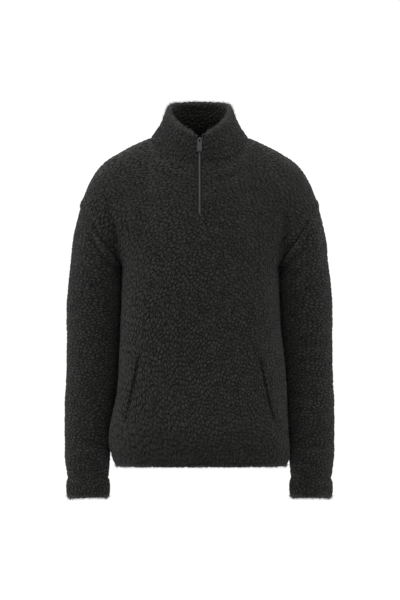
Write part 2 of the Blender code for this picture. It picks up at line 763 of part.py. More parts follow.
def zip_coil(path):
    """The closed coil between the two tapes, as one strip."""
    places, _, out = path
    rows = []
    for place, way in zip(places[:-1], out[:-1]):
        row = [place - way * COIL_DEPTH + np.array([x, 0, 0]) for x in (-COIL_WIDTH / 2, 0, COIL_WIDTH / 2)]
        rows.append(row)
    grid = np.array(rows)
    grid[0] += unit(grid[1] - grid[0]) * COIL_LIFT
    coil = Sheet("zip_coil", grid, COIL_THICK)
    coil.inward = np.broadcast_to(-out[:-1, None, :], grid.shape)
    points, faces = sheet_mesh(coil)
    return make_object("zip_coil", points, faces, metal("zip_coil"))


def frame_at(path, z):
    """The frame of the zip at a height: X across, Y inwards, Z up along it, in metres."""
    places, steps, outs = path
    place = np.array([np.interp(z, places[:, 2], places[:, k]) for k in range(3)])
    step = unit(np.array([np.interp(z, places[:, 2], steps[:, k]) for k in range(3)]))
    out = np.array([0, -step[2], step[1]])
    axes = Matrix.Identity(4)
    for row in range(3):
        axes[row][0] = (1.0, 0.0, 0.0)[row]
        axes[row][1] = -out[row]
        axes[row][2] = step[row]
        axes[row][3] = place[row] * MM
    return axes


def prism(name, outline, depth, frame, plane):
    """A solid from an outline in millimetres, pushed out both ways across its plane."""
    bm = bmesh.new()
    verts = []
    for a, b in outline:
        spot = {"XY": (a, b, 0), "YZ": (0, a, b), "XZ": (a, 0, b)}[plane]
        verts.append(bm.verts.new(Vector(spot) * MM))
    bm.faces.new(verts)
    made = bmesh.ops.extrude_face_region(bm, geom=list(bm.faces))
    moved = [v for v in made["geom"] if isinstance(v, bmesh.types.BMVert)]
    way = {"XY": Vector((0, 0, 1)), "YZ": Vector((1, 0, 0)), "XZ": Vector((0, 1, 0))}[plane]
    bmesh.ops.translate(bm, vec=way * depth * MM, verts=moved)
    bmesh.ops.translate(bm, vec=-way * depth / 2 * MM, verts=bm.verts)
    bmesh.ops.recalc_face_normals(bm, faces=bm.faces)
    bmesh.ops.transform(bm, matrix=frame, verts=bm.verts)
    mesh = bpy.data.meshes.new(name)
    bm.to_mesh(mesh)
    bm.free()
    obj = bpy.data.objects.new(name, mesh)
    bpy.context.scene.collection.objects.link(obj)
    return obj


def helper(obj):
    """A cutter or a part to be joined: kept out of the render."""
    obj.hide_render = True
    obj.display_type = "WIRE"
    return obj


def combine(obj, other, operation):
    mod = obj.modifiers.new(operation.lower(), "BOOLEAN")
    mod.operation = operation
    mod.object = helper(other)
    mod.solver = "EXACT"


def oval(half_a, half_b, centre, count=16):
    """Points of an ellipse about a centre."""
    turns = [2 * math.pi * k / count for k in range(count)]
    return [(centre[0] + half_a * math.cos(t), centre[1] + half_b * math.sin(t)) for t in turns]


def rounded_box(half_a, low, high, radius, steps=4):
    """Outline of a rectangle with rounded corners."""
    points = []
    corners = ((half_a, high, 0), (-half_a, high, 90), (-half_a, low, 180), (half_a, low, 270))
    for a, b, start in corners:
        ca = a - math.copysign(radius, a)
        cb = b - radius if b == high else b + radius
        for k in range(steps + 1):
            turn = math.radians(start + 90 * k / steps)
            points.append((ca + radius * math.cos(turn), cb + radius * math.sin(turn)))
    return points


def zip_slider(path):
    """The slider: a channel over the coil with a bridge for the pull tab."""
    frame = frame_at(path, SLIDER_Z)
    half, wall = SLIDER_WIDTH / 2, 0.75
    face = COIL_DEPTH - SEAM_GAP - SLIDER_PLATE
    deep = COIL_DEPTH + COIL_THICK
    channel = [(-half, face), (half, face), (half, deep), (half - wall, deep)]
    channel += [(half - wall, COIL_DEPTH - SEAM_GAP), (wall - half, COIL_DEPTH - SEAM_GAP)]
    channel += [(wall - half, deep), (-half, deep)]
    slider = prism("zip_slider", channel, SLIDER_LENGTH, frame, "XY")
    arch = [(face + 0.8, 3.7), (face - 2.6, 3.7), (face - 4.1, 2.4), (face - 4.1, -2.4), (face - 2.6, -3.7)]
    arch += [(face + 0.8, -3.7), (face + 0.8, -2.3), (face - 2.3, -2.3), (face - 2.9, -1.8)]
    arch += [(face - 2.9, 1.8), (face - 2.3, 2.3), (face + 0.8, 2.3)]
    bridge = prism("zip_bridge", arch, BRIDGE_WIDTH, frame, "YZ")
    combine(slider, bridge, "UNION")
    slider.data.materials.append(metal("zip_slider"))
    bridge.data.materials.append(slider.data.materials[0])
    return slider


def zip_pull(path):
    """The pull tab, hung by its bar from the bridge, with its object's origin on that bar."""
    frame = frame_at(path, SLIDER_Z)
    face = COIL_DEPTH - SEAM_GAP - SLIDER_PLATE
    bar = frame @ Matrix.Translation(Vector((0, face - 1.45, 0)) * MM)
    turned = bar @ Matrix.Rotation(-PULL_TILT, 4, "X")
    outline = rounded_box(PULL_WIDTH / 2, PULL_BAR / 2 - PULL_LENGTH, PULL_BAR / 2, 1.6)
    tab = prism("zip_pull", outline, PULL_THICK, Matrix.Identity(4), "XZ")
    eye = prism("pull_eye", oval(1.9, 2.7, (0, -3.45)), 4, Matrix.Identity(4), "XZ")
    hole = prism("pull_hole", oval(1.1, 1.1, (0, 3.2 - PULL_LENGTH)), 4, Matrix.Identity(4), "XZ")
    combine(tab, eye, "DIFFERENCE")
    combine(tab, hole, "DIFFERENCE")
    for obj in (tab, eye, hole):
        obj.data.materials.append(bpy.data.materials.get("zip_pull") or metal("zip_pull"))
        obj.matrix_world = turned
    return tab


def zip_stop(path):
    """The metal clip that closes the coil's lower end."""
    places, _, _ = path
    frame = frame_at(path, places[0, 2] + COIL_LIFT - SEAM_GAP - 0.05 - STOP_HALF)
    outline = rounded_box(COIL_WIDTH / 2 + 0.6, -STOP_HALF, STOP_HALF, 0.7, 3)
    back = SHERPA_WALL + TAPE_GAP - SEAM_GAP
    middle = Matrix.Translation(Vector((0, back - STOP_THICK / 2, 0)) * MM)
    stop = prism("zip_stop", outline, STOP_THICK, frame @ middle, "XZ")
    stop.data.materials.append(metal("zip_stop"))
    return stop


def build():
    clear_scene()
    front, back = body_sheets()
    sheets = [front, back]
    for side, word in ((-1, "left"), (1, "right")):
        sheets += sleeve_sheets(side, word)
    collar = collar_sheet()
    sheets += [collar, hem_sheet()]
    share_normals(sheets, [armhole(-1), armhole(1)])
    for sheet in sheets:
        open_seams(sheet)
        points, faces = sheet_mesh(sheet)
        make_object(sheet.name, points, faces, sherpa(sheet.name))
    for side, word in ((-1, "left"), (1, "right")):
        pocket_welt(front, side, word)
        zip_tape(front, collar, side, word)
    path = zip_path(front, collar)
    zip_coil(path)
    zip_slider(path)
    zip_pull(path)
    zip_stop(path)


build()
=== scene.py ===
# %% [markdown]
# A charcoal sherpa sweatshirt with a stand collar, a short zip and two slanted pockets, shown filled out
# with nobody in it. Sherpa is a knitted cloth whose pile is curled into small soft pebbles. The CAD parts
# give every piece its place and its main form, so each cloth piece starts here as a copy of its part.
# The copy is made finer, and then the curls, the creases and the sunk seams are pressed into it.

# %% Load the CAD frame
import math

import bmesh
import bpy
import numpy as np
from mathutils import Matrix, Vector, kdtree, noise
from mathutils.bvhtree import BVHTree


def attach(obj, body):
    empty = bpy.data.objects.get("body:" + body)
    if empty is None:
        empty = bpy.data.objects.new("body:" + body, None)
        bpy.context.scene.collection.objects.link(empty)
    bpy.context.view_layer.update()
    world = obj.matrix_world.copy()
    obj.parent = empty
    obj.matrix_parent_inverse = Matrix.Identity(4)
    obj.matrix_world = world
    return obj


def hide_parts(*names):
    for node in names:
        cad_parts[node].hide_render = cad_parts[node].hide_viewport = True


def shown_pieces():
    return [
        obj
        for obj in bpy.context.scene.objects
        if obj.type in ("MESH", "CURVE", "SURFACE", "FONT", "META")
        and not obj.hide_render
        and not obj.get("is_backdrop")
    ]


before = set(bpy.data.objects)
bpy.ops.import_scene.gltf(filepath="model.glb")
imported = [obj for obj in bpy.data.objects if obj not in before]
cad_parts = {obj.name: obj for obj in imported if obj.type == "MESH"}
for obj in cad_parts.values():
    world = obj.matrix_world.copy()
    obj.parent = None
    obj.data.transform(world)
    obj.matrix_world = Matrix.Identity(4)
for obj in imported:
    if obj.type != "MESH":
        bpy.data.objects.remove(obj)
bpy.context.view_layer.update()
MM = 0.001

# %% [markdown]
# The camera comes first. The picture is level and shows no narrowing with distance, so the camera stands
# 24 metres away with a very long lens. The image is 400 by 600, and one pixel is 2.15 mm at the garment.

# %% Camera at the photograph's angle
PIXEL = 2.15 * MM
IMAGE_HIGH, ORIGIN_ROW = 600, 143
FAR, SENSOR = 24.0, 36
camera_data = bpy.data.cameras.new("camera")
camera = bpy.data.objects.new("camera", camera_data)
bpy.context.scene.collection.objects.link(camera)
camera.location = (0.5 * PIXEL, -FAR, (ORIGIN_ROW - IMAGE_HIGH / 2) * PIXEL)
camera.rotation_euler = (math.radians(90), 0, 0)
camera_data.sensor_width = SENSOR
camera_data.lens = SENSOR * FAR / (IMAGE_HIGH * PIXEL)
camera_data.clip_end = 90
bpy.context.scene.camera = camera
print("lens", round(camera_data.lens, 1), "mm")

# %% [markdown]
# Shader sums are easier to read as sums. A small class wraps a socket and adds a Math node for each sign,
# and one method makes any other node from its type, its settings and what goes into its sockets.

# %% Shader sums
class Value:
    """A node's output that can be added, subtracted, multiplied, raised to a power and clamped."""

    def __init__(self, finish, socket):
        self.finish, self.socket = finish, socket

    def math(self, operation, *others):
        return self.finish.node("ShaderNodeMath", {"operation": operation}, dict(enumerate((self,) + others)))

    def __add__(self, other):
        return self.math("ADD", other)

    __radd__ = __add__

    def __mul__(self, other):
        return self.math("MULTIPLY", other)

    def __sub__(self, other):
        return self.math("SUBTRACT", other)

    def __rsub__(self, other):
        return (self * -1.0) + other

    def __pow__(self, other):
        return self.math("POWER", other)

    def clamped(self):
        return self.math("MAXIMUM", 0.0).math("MINIMUM", 1.0)


class Finish:
    """A material with its node tree."""

    def __init__(self, name):
        self.material = bpy.data.materials.new(name)
        self.material.use_nodes = True
        self.tree = self.material.node_tree
        self.shader = self.tree.nodes["Principled BSDF"]

    def node(self, kind, settings=None, inputs=None, output=0):
        made = self.tree.nodes.new(kind)
        for key, value in (settings or {}).items():
            setattr(made, key, value)
        for key, value in (inputs or {}).items():
            self.feed(made.inputs[key], value)
        return Value(self, made.outputs[output])

    def feed(self, socket, value):
        if isinstance(value, Value):
            self.tree.links.new(value.socket, socket)
        else:
            socket.default_value = value

    def set(self, **sockets):
        for name, value in sockets.items():
            self.feed(self.shader.inputs[name.replace("_", " ")], value)

    def place(self, stretch=(1.0, 1.0, 1.0)):
        where = self.node("ShaderNodeTexCoord", output="Object")
        return self.node("ShaderNodeMapping", None, {"Vector": where, "Scale": stretch})

    def attribute(self, name, output="Fac"):
        return self.node("ShaderNodeAttribute", {"attribute_name": name}, output=output)

    def height_here(self):
        return self.node("ShaderNodeSeparateXYZ", None, {"Vector": self.place()}, output="Z")

    def grain(self, scale, detail=2.0, place=None, rough=0.5):
        where = place or self.place()
        return self.node("ShaderNodeTexNoise", None,
                         {"Vector": where, "Scale": scale, "Detail": detail, "Roughness": rough})

    def blend(self, factor, low, high, how="MIX"):
        return self.node("ShaderNodeMix", {"data_type": "RGBA", "blend_type": how},
                         {0: factor, 6: low, 7: high}, output=2)

    def bump(self, height, depth, strength=1.0):
        return self.node("ShaderNodeBump", None, {"Height": height, "Distance": depth, "Strength": strength})


# %% [markdown]
# The pile is charcoal wool-like polyester. Its colour is painted light and shade from depth: the tops of the
# curls are painted lighter, as they catch light, and the crevices between them are painted dark, a painted shade
# for the light they swallow. The mesh holds how high each point stands as an attribute named pile. Grains of
# about 10 by 6 mm are laid over the curls as bump and colour, and the dark lines between them are painted shade
# too. They are a swayed Voronoi pattern on an attribute named flat, which holds where a point would be if its
# piece was laid flat, so that the grains keep their size where the surface turns away. They are turned by an
# angle, in radians, and noise gives the fibre ends. The rolled edge of the collar is painted paler, a painted
# highlight for the light that comes through its loose pile, and an attribute named rim says where that is.

# %% Sherpa finish
def rgb(r, g, b):
    return (r, g, b, 1.0)


GRAIN_SCALE, GRAIN_STRETCH = 132.0, (0.76, 1.22, 1.0)
SWAY_SCALE, SWAY = 130.0, (0.0022, 0.0022, 0.0022)
LIE_TOP, LIE_SPAN = 0.10, 0.46
PILE_BUMP = 1.8 * MM
RIM_HIGHLIGHT_COLOUR = (0.027, 0.0266, 0.0248)


def sherpa_finish(name, top, low, lie=(0.0, 0.0), painted_hem_shade=0.0):
    """Pile whose grains lie at one angle near the top and another lower down, with painted shade that darkens it
    near the hem.
    """
    pile_finish = Finish(name)
    pile, own, rim = (pile_finish.attribute(each) for each in ("pile", "curl", "rim"))
    up = pile_finish.height_here()
    slope = (lie[0] - lie[1]) / LIE_SPAN
    turn = up * slope + (lie[0] + slope * LIE_TOP)
    flat = pile_finish.attribute("flat", "Vector")
    turned = pile_finish.node("ShaderNodeVectorRotate", {"rotation_type": "Z_AXIS"},
                              {"Vector": flat, "Center": (0.0, -0.33, 0.0), "Angle": turn * -1.0})
    sway = pile_finish.node("ShaderNodeTexNoise", None,
                            {"Vector": pile_finish.place(), "Scale": SWAY_SCALE, "Detail": 1.0}, output="Color")
    swayed = pile_finish.node("ShaderNodeVectorMath", {"operation": "MULTIPLY_ADD"},
                              {0: sway, 1: SWAY, 2: turned})
    laid = pile_finish.node("ShaderNodeMapping", None, {"Vector": swayed, "Scale": GRAIN_STRETCH})
    grains = pile_finish.node("ShaderNodeTexVoronoi",
                              {"feature": "DISTANCE_TO_EDGE", "voronoi_dimensions": "2D"},
                              {"Vector": laid, "Scale": GRAIN_SCALE}, output="Distance")
    uneven = pile_finish.grain(60.0, 1.0)
    plump = (grains * 3.5).math("MINIMUM", 1.0)
    line = (plump - 1.0) * (uneven * 1.1 + 0.35).math("MINIMUM", 1.0) + 1.0
    curl = pile_finish.grain(620.0, 3.0, rough=0.6)
    wisp = pile_finish.grain(1500.0, 2.0)
    cloud = pile_finish.grain(16.0, 2.0)
    height = pile * 0.22 + line * 0.98 + curl * 0.16 + own * 0.10 - 0.32
    near_hem = (up * -12.0 - 7.2).clamped()
    # Painted shade: low pile and grain lines are painted dark, and the colour is painted darker near the hem.
    shade = height.clamped() ** 1.5 * (1.0 - near_hem * painted_hem_shade)
    colour = pile_finish.blend(shade, rgb(*low), rgb(*top))
    cloud_tone_and_crease_shade = pile_finish.blend(cloud, rgb(0.90, 0.90, 0.91), rgb(1.10, 1.09, 1.07))
    painted = pile_finish.blend(1.0, colour, cloud_tone_and_crease_shade, "MULTIPLY")
    # Painted highlight: the rolled edge of the collar is painted paler where rim is set.
    lit = pile_finish.blend(rim, painted, rgb(*RIM_HIGHLIGHT_COLOUR))
    fluff = pile_finish.bump(line * 0.9 + curl * 0.30 + wisp * 0.15, PILE_BUMP)
    pile_finish.set(Base_Color=lit, Roughness=0.99 - pile * 0.07, Normal=fluff,
                    Sheen_Weight=0.05, Sheen_Roughness=0.6, Specular_IOR_Level=0.10)
    return pile_finish.material


# Painted shade: the near-black colour painted into the crevices and the grain lines.
PAINTED_CREVICE_SHADE = (0.0002, 0.0002, 0.0002)
# Lit and shaded copies of one pile. The sleeve copy is painted a little darker and the collar copy much darker,
# both as painted shade. The inside of the collar is painted lighter, as painted light.
SHERPA = sherpa_finish("sherpa_pile", (0.0184, 0.0180, 0.0166), PAINTED_CREVICE_SHADE, lie=(0.45, 1.35), painted_hem_shade=0.36)
SHERPA_SLEEVE_SHADED = sherpa_finish("sherpa_pile_sleeve_shaded", (0.0174, 0.0170, 0.0156), PAINTED_CREVICE_SHADE, lie=(0.1, 0.1))
SHERPA_COLLAR_SHADED = sherpa_finish("sherpa_pile_collar_shaded", (0.0106, 0.0104, 0.0095), PAINTED_CREVICE_SHADE, lie=(1.2, 1.2))
SHERPA_INSIDE_LIT = sherpa_finish("sherpa_pile_inside_lit", (0.0226, 0.0222, 0.0205), PAINTED_CREVICE_SHADE, lie=(1.0, 1.0))


def backing_finish():
    knit = Finish("brushed_back")
    loops = knit.node("ShaderNodeTexWave", {"wave_type": "BANDS", "bands_direction": "Z"},
                      {"Vector": knit.place(), "Scale": 260.0, "Distortion": 5.0, "Detail": 2.0,
                       "Detail Scale": 2.0})
    nap = knit.grain(900.0, 3.0)
    colour = knit.blend(loops * 0.5 + nap * 0.5, rgb(0.007, 0.007, 0.007), rgb(0.021, 0.021, 0.020))
    knit.set(Base_Color=colour, Roughness=0.97 - nap * 0.05, Normal=knit.bump(loops * 0.5 + nap, 0.5 * MM, 0.8),
             Sheen_Weight=0.12, Sheen_Roughness=0.5, Specular_IOR_Level=0.15)
    return knit.material


BACKING = backing_finish()

# %% [markdown]
# A CAD node is a bag of loose triangles. Welding its doubles and joining pairs of triangles gives back the
# quads it was drawn with, and those subdivide cleanly. End faces that lie against a neighbour's end face
# are seams. They keep their edge through the subdivision, so that two pieces still meet along one line.

# %% Weld a part and sort its faces
OUTER, INNER, WALL = 0, 1, 2
SLEEVE_AXIS = np.array([(213, 2, -215), (220, 7, -262), (224, 14, -326), (225, 17, -370), (227, 19, -419),
                        (228, 20, -473), (231, 19, -528), (236, 16, -582), (241, 13, -633), (240, 8, -705),
                        (240, 7, -765)]) * MM
CLOTH = ["front", "back", "sleeve_left", "sleeve_right", "collar", "hem_band", "cuff_left", "cuff_right"]


def from_bmesh(name, bm):
    mesh = bpy.data.meshes.new(name)
    bm.to_mesh(mesh)
    bm.free()
    obj = bpy.data.objects.new(name, mesh)
    bpy.context.scene.collection.objects.link(obj)
    return obj


def applied(obj):
    """The object's mesh with its modifiers applied, which are then taken off."""
    graph = bpy.context.evaluated_depsgraph_get()
    finer = bpy.data.meshes.new_from_object(obj.evaluated_get(graph), depsgraph=graph)
    obj.modifiers.clear()
    bm = bmesh.new()
    bm.from_mesh(finer)
    return bm


def smoothed(bm, verts, times):
    for _ in range(times):
        bmesh.ops.smooth_vert(bm, verts=verts, factor=0.5, use_axis_x=True, use_axis_y=True, use_axis_z=True)


def drop_layers(mesh, *names):
    for extra in names:
        if extra in mesh.attributes:
            mesh.attributes.remove(mesh.attributes[extra])


def welded(node):
    bm = bmesh.new()
    bm.from_mesh(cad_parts[node].data)
    bmesh.ops.remove_doubles(bm, verts=bm.verts, dist=0.02 * MM)
    bmesh.ops.join_triangles(bm, faces=bm.faces, angle_face_threshold=math.radians(40),
                             angle_shape_threshold=math.radians(70))
    bm.normal_update()
    return bm


def hollow(node, points):
    """For each point, the place inside the garment that its outer side faces away from."""
    inside = np.array(points, float)
    if node in ("front", "back", "hem_band") or node.startswith("pocket"):
        inside[:, 0] *= 0.55
        inside[:, 1] = 4 * MM
        inside[:, 2] = np.minimum(inside[:, 2], -200 * MM)
    elif node == "collar":
        inside[:, :2] = (0, -12 * MM)
    else:
        line = SLEEVE_AXIS * (np.sign(inside[:, :1].mean()), 1, 1)
        best = np.full(len(inside), np.inf)
        near = inside.copy()
        for a, b in zip(line[:-1], line[1:]):
            share = np.clip(((points - a) @ (b - a)) / ((b - a) @ (b - a)), 0, 1)
            spot = a + share[:, None] * (b - a)
            far = np.linalg.norm(points - spot, axis=1)
            near[far < best] = spot[far < best]
            best = np.minimum(best, far)
        inside = near
    return inside


trees = {}
for name in CLOTH:
    bm = welded(name)
    trees[name] = BVHTree.FromBMesh(bm)
    bm.free()


def near_slit(place):
    return abs(place.x) < 5.6 * MM and place.y < 0 and place.z > -215 * MM


def sort_faces(bm, node):
    """Marks each face as outer, inner or the wall of a seam."""
    centres = [f.calc_center_median() for f in bm.faces]
    ways = np.array([f.normal for f in bm.faces])
    spots = np.array(centres)
    outward = np.sum(ways * (spots - hollow(node, spots)), axis=1)
    for face, centre, out in zip(bm.faces, centres, outward):
        face.material_index = OUTER if out > 0 else INNER
        if near_slit(centre) and abs(face.normal.x) > 0.7:
            face.material_index = WALL
        for other, tree in trees.items():
            if other == node:
                continue
            if tree.find_nearest(centre, 0.9 * MM)[0] is not None:
                face.material_index = WALL


def keep_seams(bm):
    """Creases the edges of the seam walls, and fixes the corners where a seam line turns."""
    crease = bm.edges.layers.float.get("crease_edge") or bm.edges.layers.float.new("crease_edge")
    for edge in bm.edges:
        kinds = {f.material_index for f in edge.link_faces}
        if WALL in kinds and len(kinds) > 1:
            edge[crease] = 1.0
        elif kinds == {WALL} and edge.calc_face_angle(0) > math.radians(35):
            edge[crease] = 1.0


LONGEST_EDGE = 29 * MM


def halve_long_edges(bm, longest):
    """Cuts each edge that is too long once, so that the curls get the same number of points both ways."""
    long_edges = [e for e in bm.edges if e.calc_length() > longest]
    if long_edges:
        bmesh.ops.subdivide_edges(bm, edges=long_edges, cuts=1, use_grid_fill=True)


def refined(node, cuts, both=False):
    """A part's copy with a smooth surface, and a fine grid on the sides that show their pile."""
    bm = welded(node)
    sort_faces(bm, node)
    halve_long_edges(bm, LONGEST_EDGE)
    keep_seams(bm)
    obj = from_bmesh(node + "_pile", bm)
    mesh = obj.data
    smooth = obj.modifiers.new("smooth", "SUBSURF")
    smooth.levels = smooth.render_levels = 1
    bm = applied(obj)
    pile_kinds = (OUTER, INNER) if both else (OUTER,)
    edges = [e for e in bm.edges if any(f.material_index in pile_kinds for f in e.link_faces)]
    bmesh.ops.subdivide_edges(bm, edges=edges, cuts=cuts, use_grid_fill=True)
    smoothed(bm, [v for v in bm.verts if all(f.material_index in pile_kinds for f in v.link_faces)], 4)
    bm.to_mesh(mesh)
    bm.free()
    drop_layers(mesh, "custom_normal", "crease_edge", "sharp_edge", "sharp_face")
    mesh.shade_smooth()
    part_shading(mesh)
    return obj


def part_shading(mesh):
    """Keeps the shading of a seam's wall apart from the shown cloth, so no bright line runs along it."""
    bm = bmesh.new()
    bm.from_mesh(mesh)
    for edge in bm.edges:
        edge.smooth = len({f.material_index == WALL for f in edge.link_faces}) == 1
    bm.to_mesh(mesh)
    bm.free()


# %% [markdown]
# The curls aren't round. They are short worms that lie along the way the pile was brushed: along the
# slope on the shoulders, rising to the right over the chest, upright near the hem, and level on the
# sleeves. A table gives that direction at places of the front view, and each point reads a mean of them
# that counts the nearest most. A slow noise turns it a little, because brushing is never even.

# %% Which way the pile lies
LIE = (
    # x, z in millimetres, angle in degrees above the viewer's right
    (-185, -45, 28), (185, -45, -28), (-110, -20, 35), (110, -20, -30), (0, -70, 5), (-60, -110, 25),
    (70, -110, -12), (-190, -130, 40), (190, -130, -38), (0, -180, 28), (-110, -210, 42), (110, -210, 20),
    (-145, -300, 24), (0, -300, 38), (145, -300, 14), (-60, -400, 45), (70, -400, 62), (-150, -420, 20),
    (158, -420, 150), (0, -500, 66), (-120, -540, 72), (120, -540, 98), (0, -620, 84), (-165, -640, 40),
    (165, -640, 140), (-160, -540, 28), (165, -540, 150), (-90, -470, 68), (95, -470, 84),
    (-255, -200, -58), (255, -200, 58), (-195, -300, -50), (198, -300, 48),
    (-275, -330, 8), (278, -330, -28), (-210, -420, -32), (215, -420, 40), (-275, -460, 4), (280, -460, 70),
    (-215, -560, -14), (220, -560, 12), (-275, -600, 10), (278, -600, 82), (-240, -700, 6), (240, -700, -8),
    (-240, -745, 85), (240, -745, 95), (-45, 30, 64), (45, 30, 118), (0, 60, 20),
)


def lie_of(points, normals):
    """For each point, the way its curl lies and the way across it, both in the surface."""
    table = np.array(LIE, float)
    seen = points[:, [0, 2]] / MM
    away = ((seen[:, None, :] - table[None, :, :2]) ** 2).sum(axis=2)
    weight = 1 / (away + 400) ** 1.6
    twice = np.radians(table[:, 2] * 2)
    angle = np.arctan2(weight @ np.sin(twice), weight @ np.cos(twice)) / 2
    angle += np.array([noise.noise(Vector(p) * 24.0) + 0.5 * noise.noise(Vector(p) * 70.0) for p in points]) * 0.8
    upright = np.array([0.0, 0.12, 1.0])
    up = upright - normals * (normals @ upright)[:, None]
    up /= np.maximum(np.linalg.norm(up, axis=1, keepdims=True), 1e-6)
    level = np.cross(up, normals)
    along = level * np.cos(angle)[:, None] + up * np.sin(angle)[:, None]
    return along, np.cross(normals, along)


# %% [markdown]
# One seed stands for one curl. Seeds are picked one by one in a shuffled order, and each clears an oval
# round itself, so no two sit too near and none leaves a gap. A point then belongs to the nearest
# seed, measured with the seed's own oval. Where the nearest and the second nearest are equally far, there
# is a crevice. Crevices beside a curl are deep and those at its ends are shallow, so curls run on into
# each other and the dark lines between them are long. About a fifth of the crevices are shallow, and
# each point strays a little before it is measured, so the lines waver as real pile does.

# %% Seeds and curls
CURL_LONG, CURL_WIDE = 6.4 * MM, 4.0 * MM
noise.seed_set(1)  # without a seed, noise_vector would start from the clock and change with each run


def oval_distance(step, along, across, size):
    """Distance in ovals: 1 on the rim of a seed's own oval."""
    a = np.sum(step * along, axis=-1) / CURL_LONG
    b = np.sum(step * across, axis=-1) / CURL_WIDE
    rest = np.maximum(np.sum(step * step, axis=-1) - (a * CURL_LONG) ** 2 - (b * CURL_WIDE) ** 2, 0)
    return np.sqrt(a * a + b * b + rest / CURL_WIDE**2) / size


def curls(points, normals, seed):
    """Height of the pile between 0 in a crevice and 1 on a top, and how domed it is there."""
    rng = np.random.default_rng(seed)
    along, across = lie_of(points, normals)
    size = rng.uniform(0.72, 1.22, len(points))
    tree = kdtree.KDTree(len(points))
    for i, p in enumerate(points):
        tree.insert(p, i)
    tree.balance()
    free = np.ones(len(points), bool)
    seeds = []
    for i in rng.permutation(len(points)):
        if not free[i]:
            continue
        seeds.append(i)
        near = np.array([j for _, j, _ in tree.find_range(points[i], 1.75 * CURL_LONG)])
        gone = oval_distance(points[near] - points[i], along[i], across[i], size[i]) < 1.5
        free[near[gone]] = False
    seeds = np.array(seeds)
    ring = kdtree.KDTree(len(seeds))
    for k, i in enumerate(seeds):
        ring.insert(points[i], k)
    ring.balance()
    count = min(9, len(seeds))
    close = np.array([[k for _, k, _ in ring.find_n(p, count)] for p in points])
    owner = seeds[close]
    stray = np.array([noise.noise_vector(Vector(p) * 190.0) for p in points]) * 1.7 * MM
    stray -= normals * np.sum(stray * normals, axis=1, keepdims=True)
    far = oval_distance((points + stray)[:, None] - points[owner], along[owner], across[owner], size[owner])
    order = np.argsort(far, axis=1)
    rows = np.arange(len(points))
    first, second = far[rows, order[:, 0]], far[rows, order[:, 1]]
    own, other = close[rows, order[:, 0]], close[rows, order[:, 1]]
    joined = (np.sin((own + other) * 12.9898 + seed) * 43758.5453) % 1.0
    step = points[seeds[other]] - points[seeds[own]]
    step /= np.maximum(np.linalg.norm(step, axis=1, keepdims=True), 1e-9)
    beside = np.sum(step * across[seeds[own]], axis=1) ** 2
    depth = np.where(joined < 0.22, 0.30, 0.50 + 0.25 * beside + 0.25 * joined)
    gap = np.clip((second - first) / 0.66, 0, 1)
    crevice = (1 - gap) ** 1.1 * depth
    dome = np.clip(1 - first * first * 0.5, 0, 1)
    tone = rng.uniform(0, 1, len(seeds))[own]
    print("   ", len(seeds), "curls")
    return 1 - crevice, dome, tone
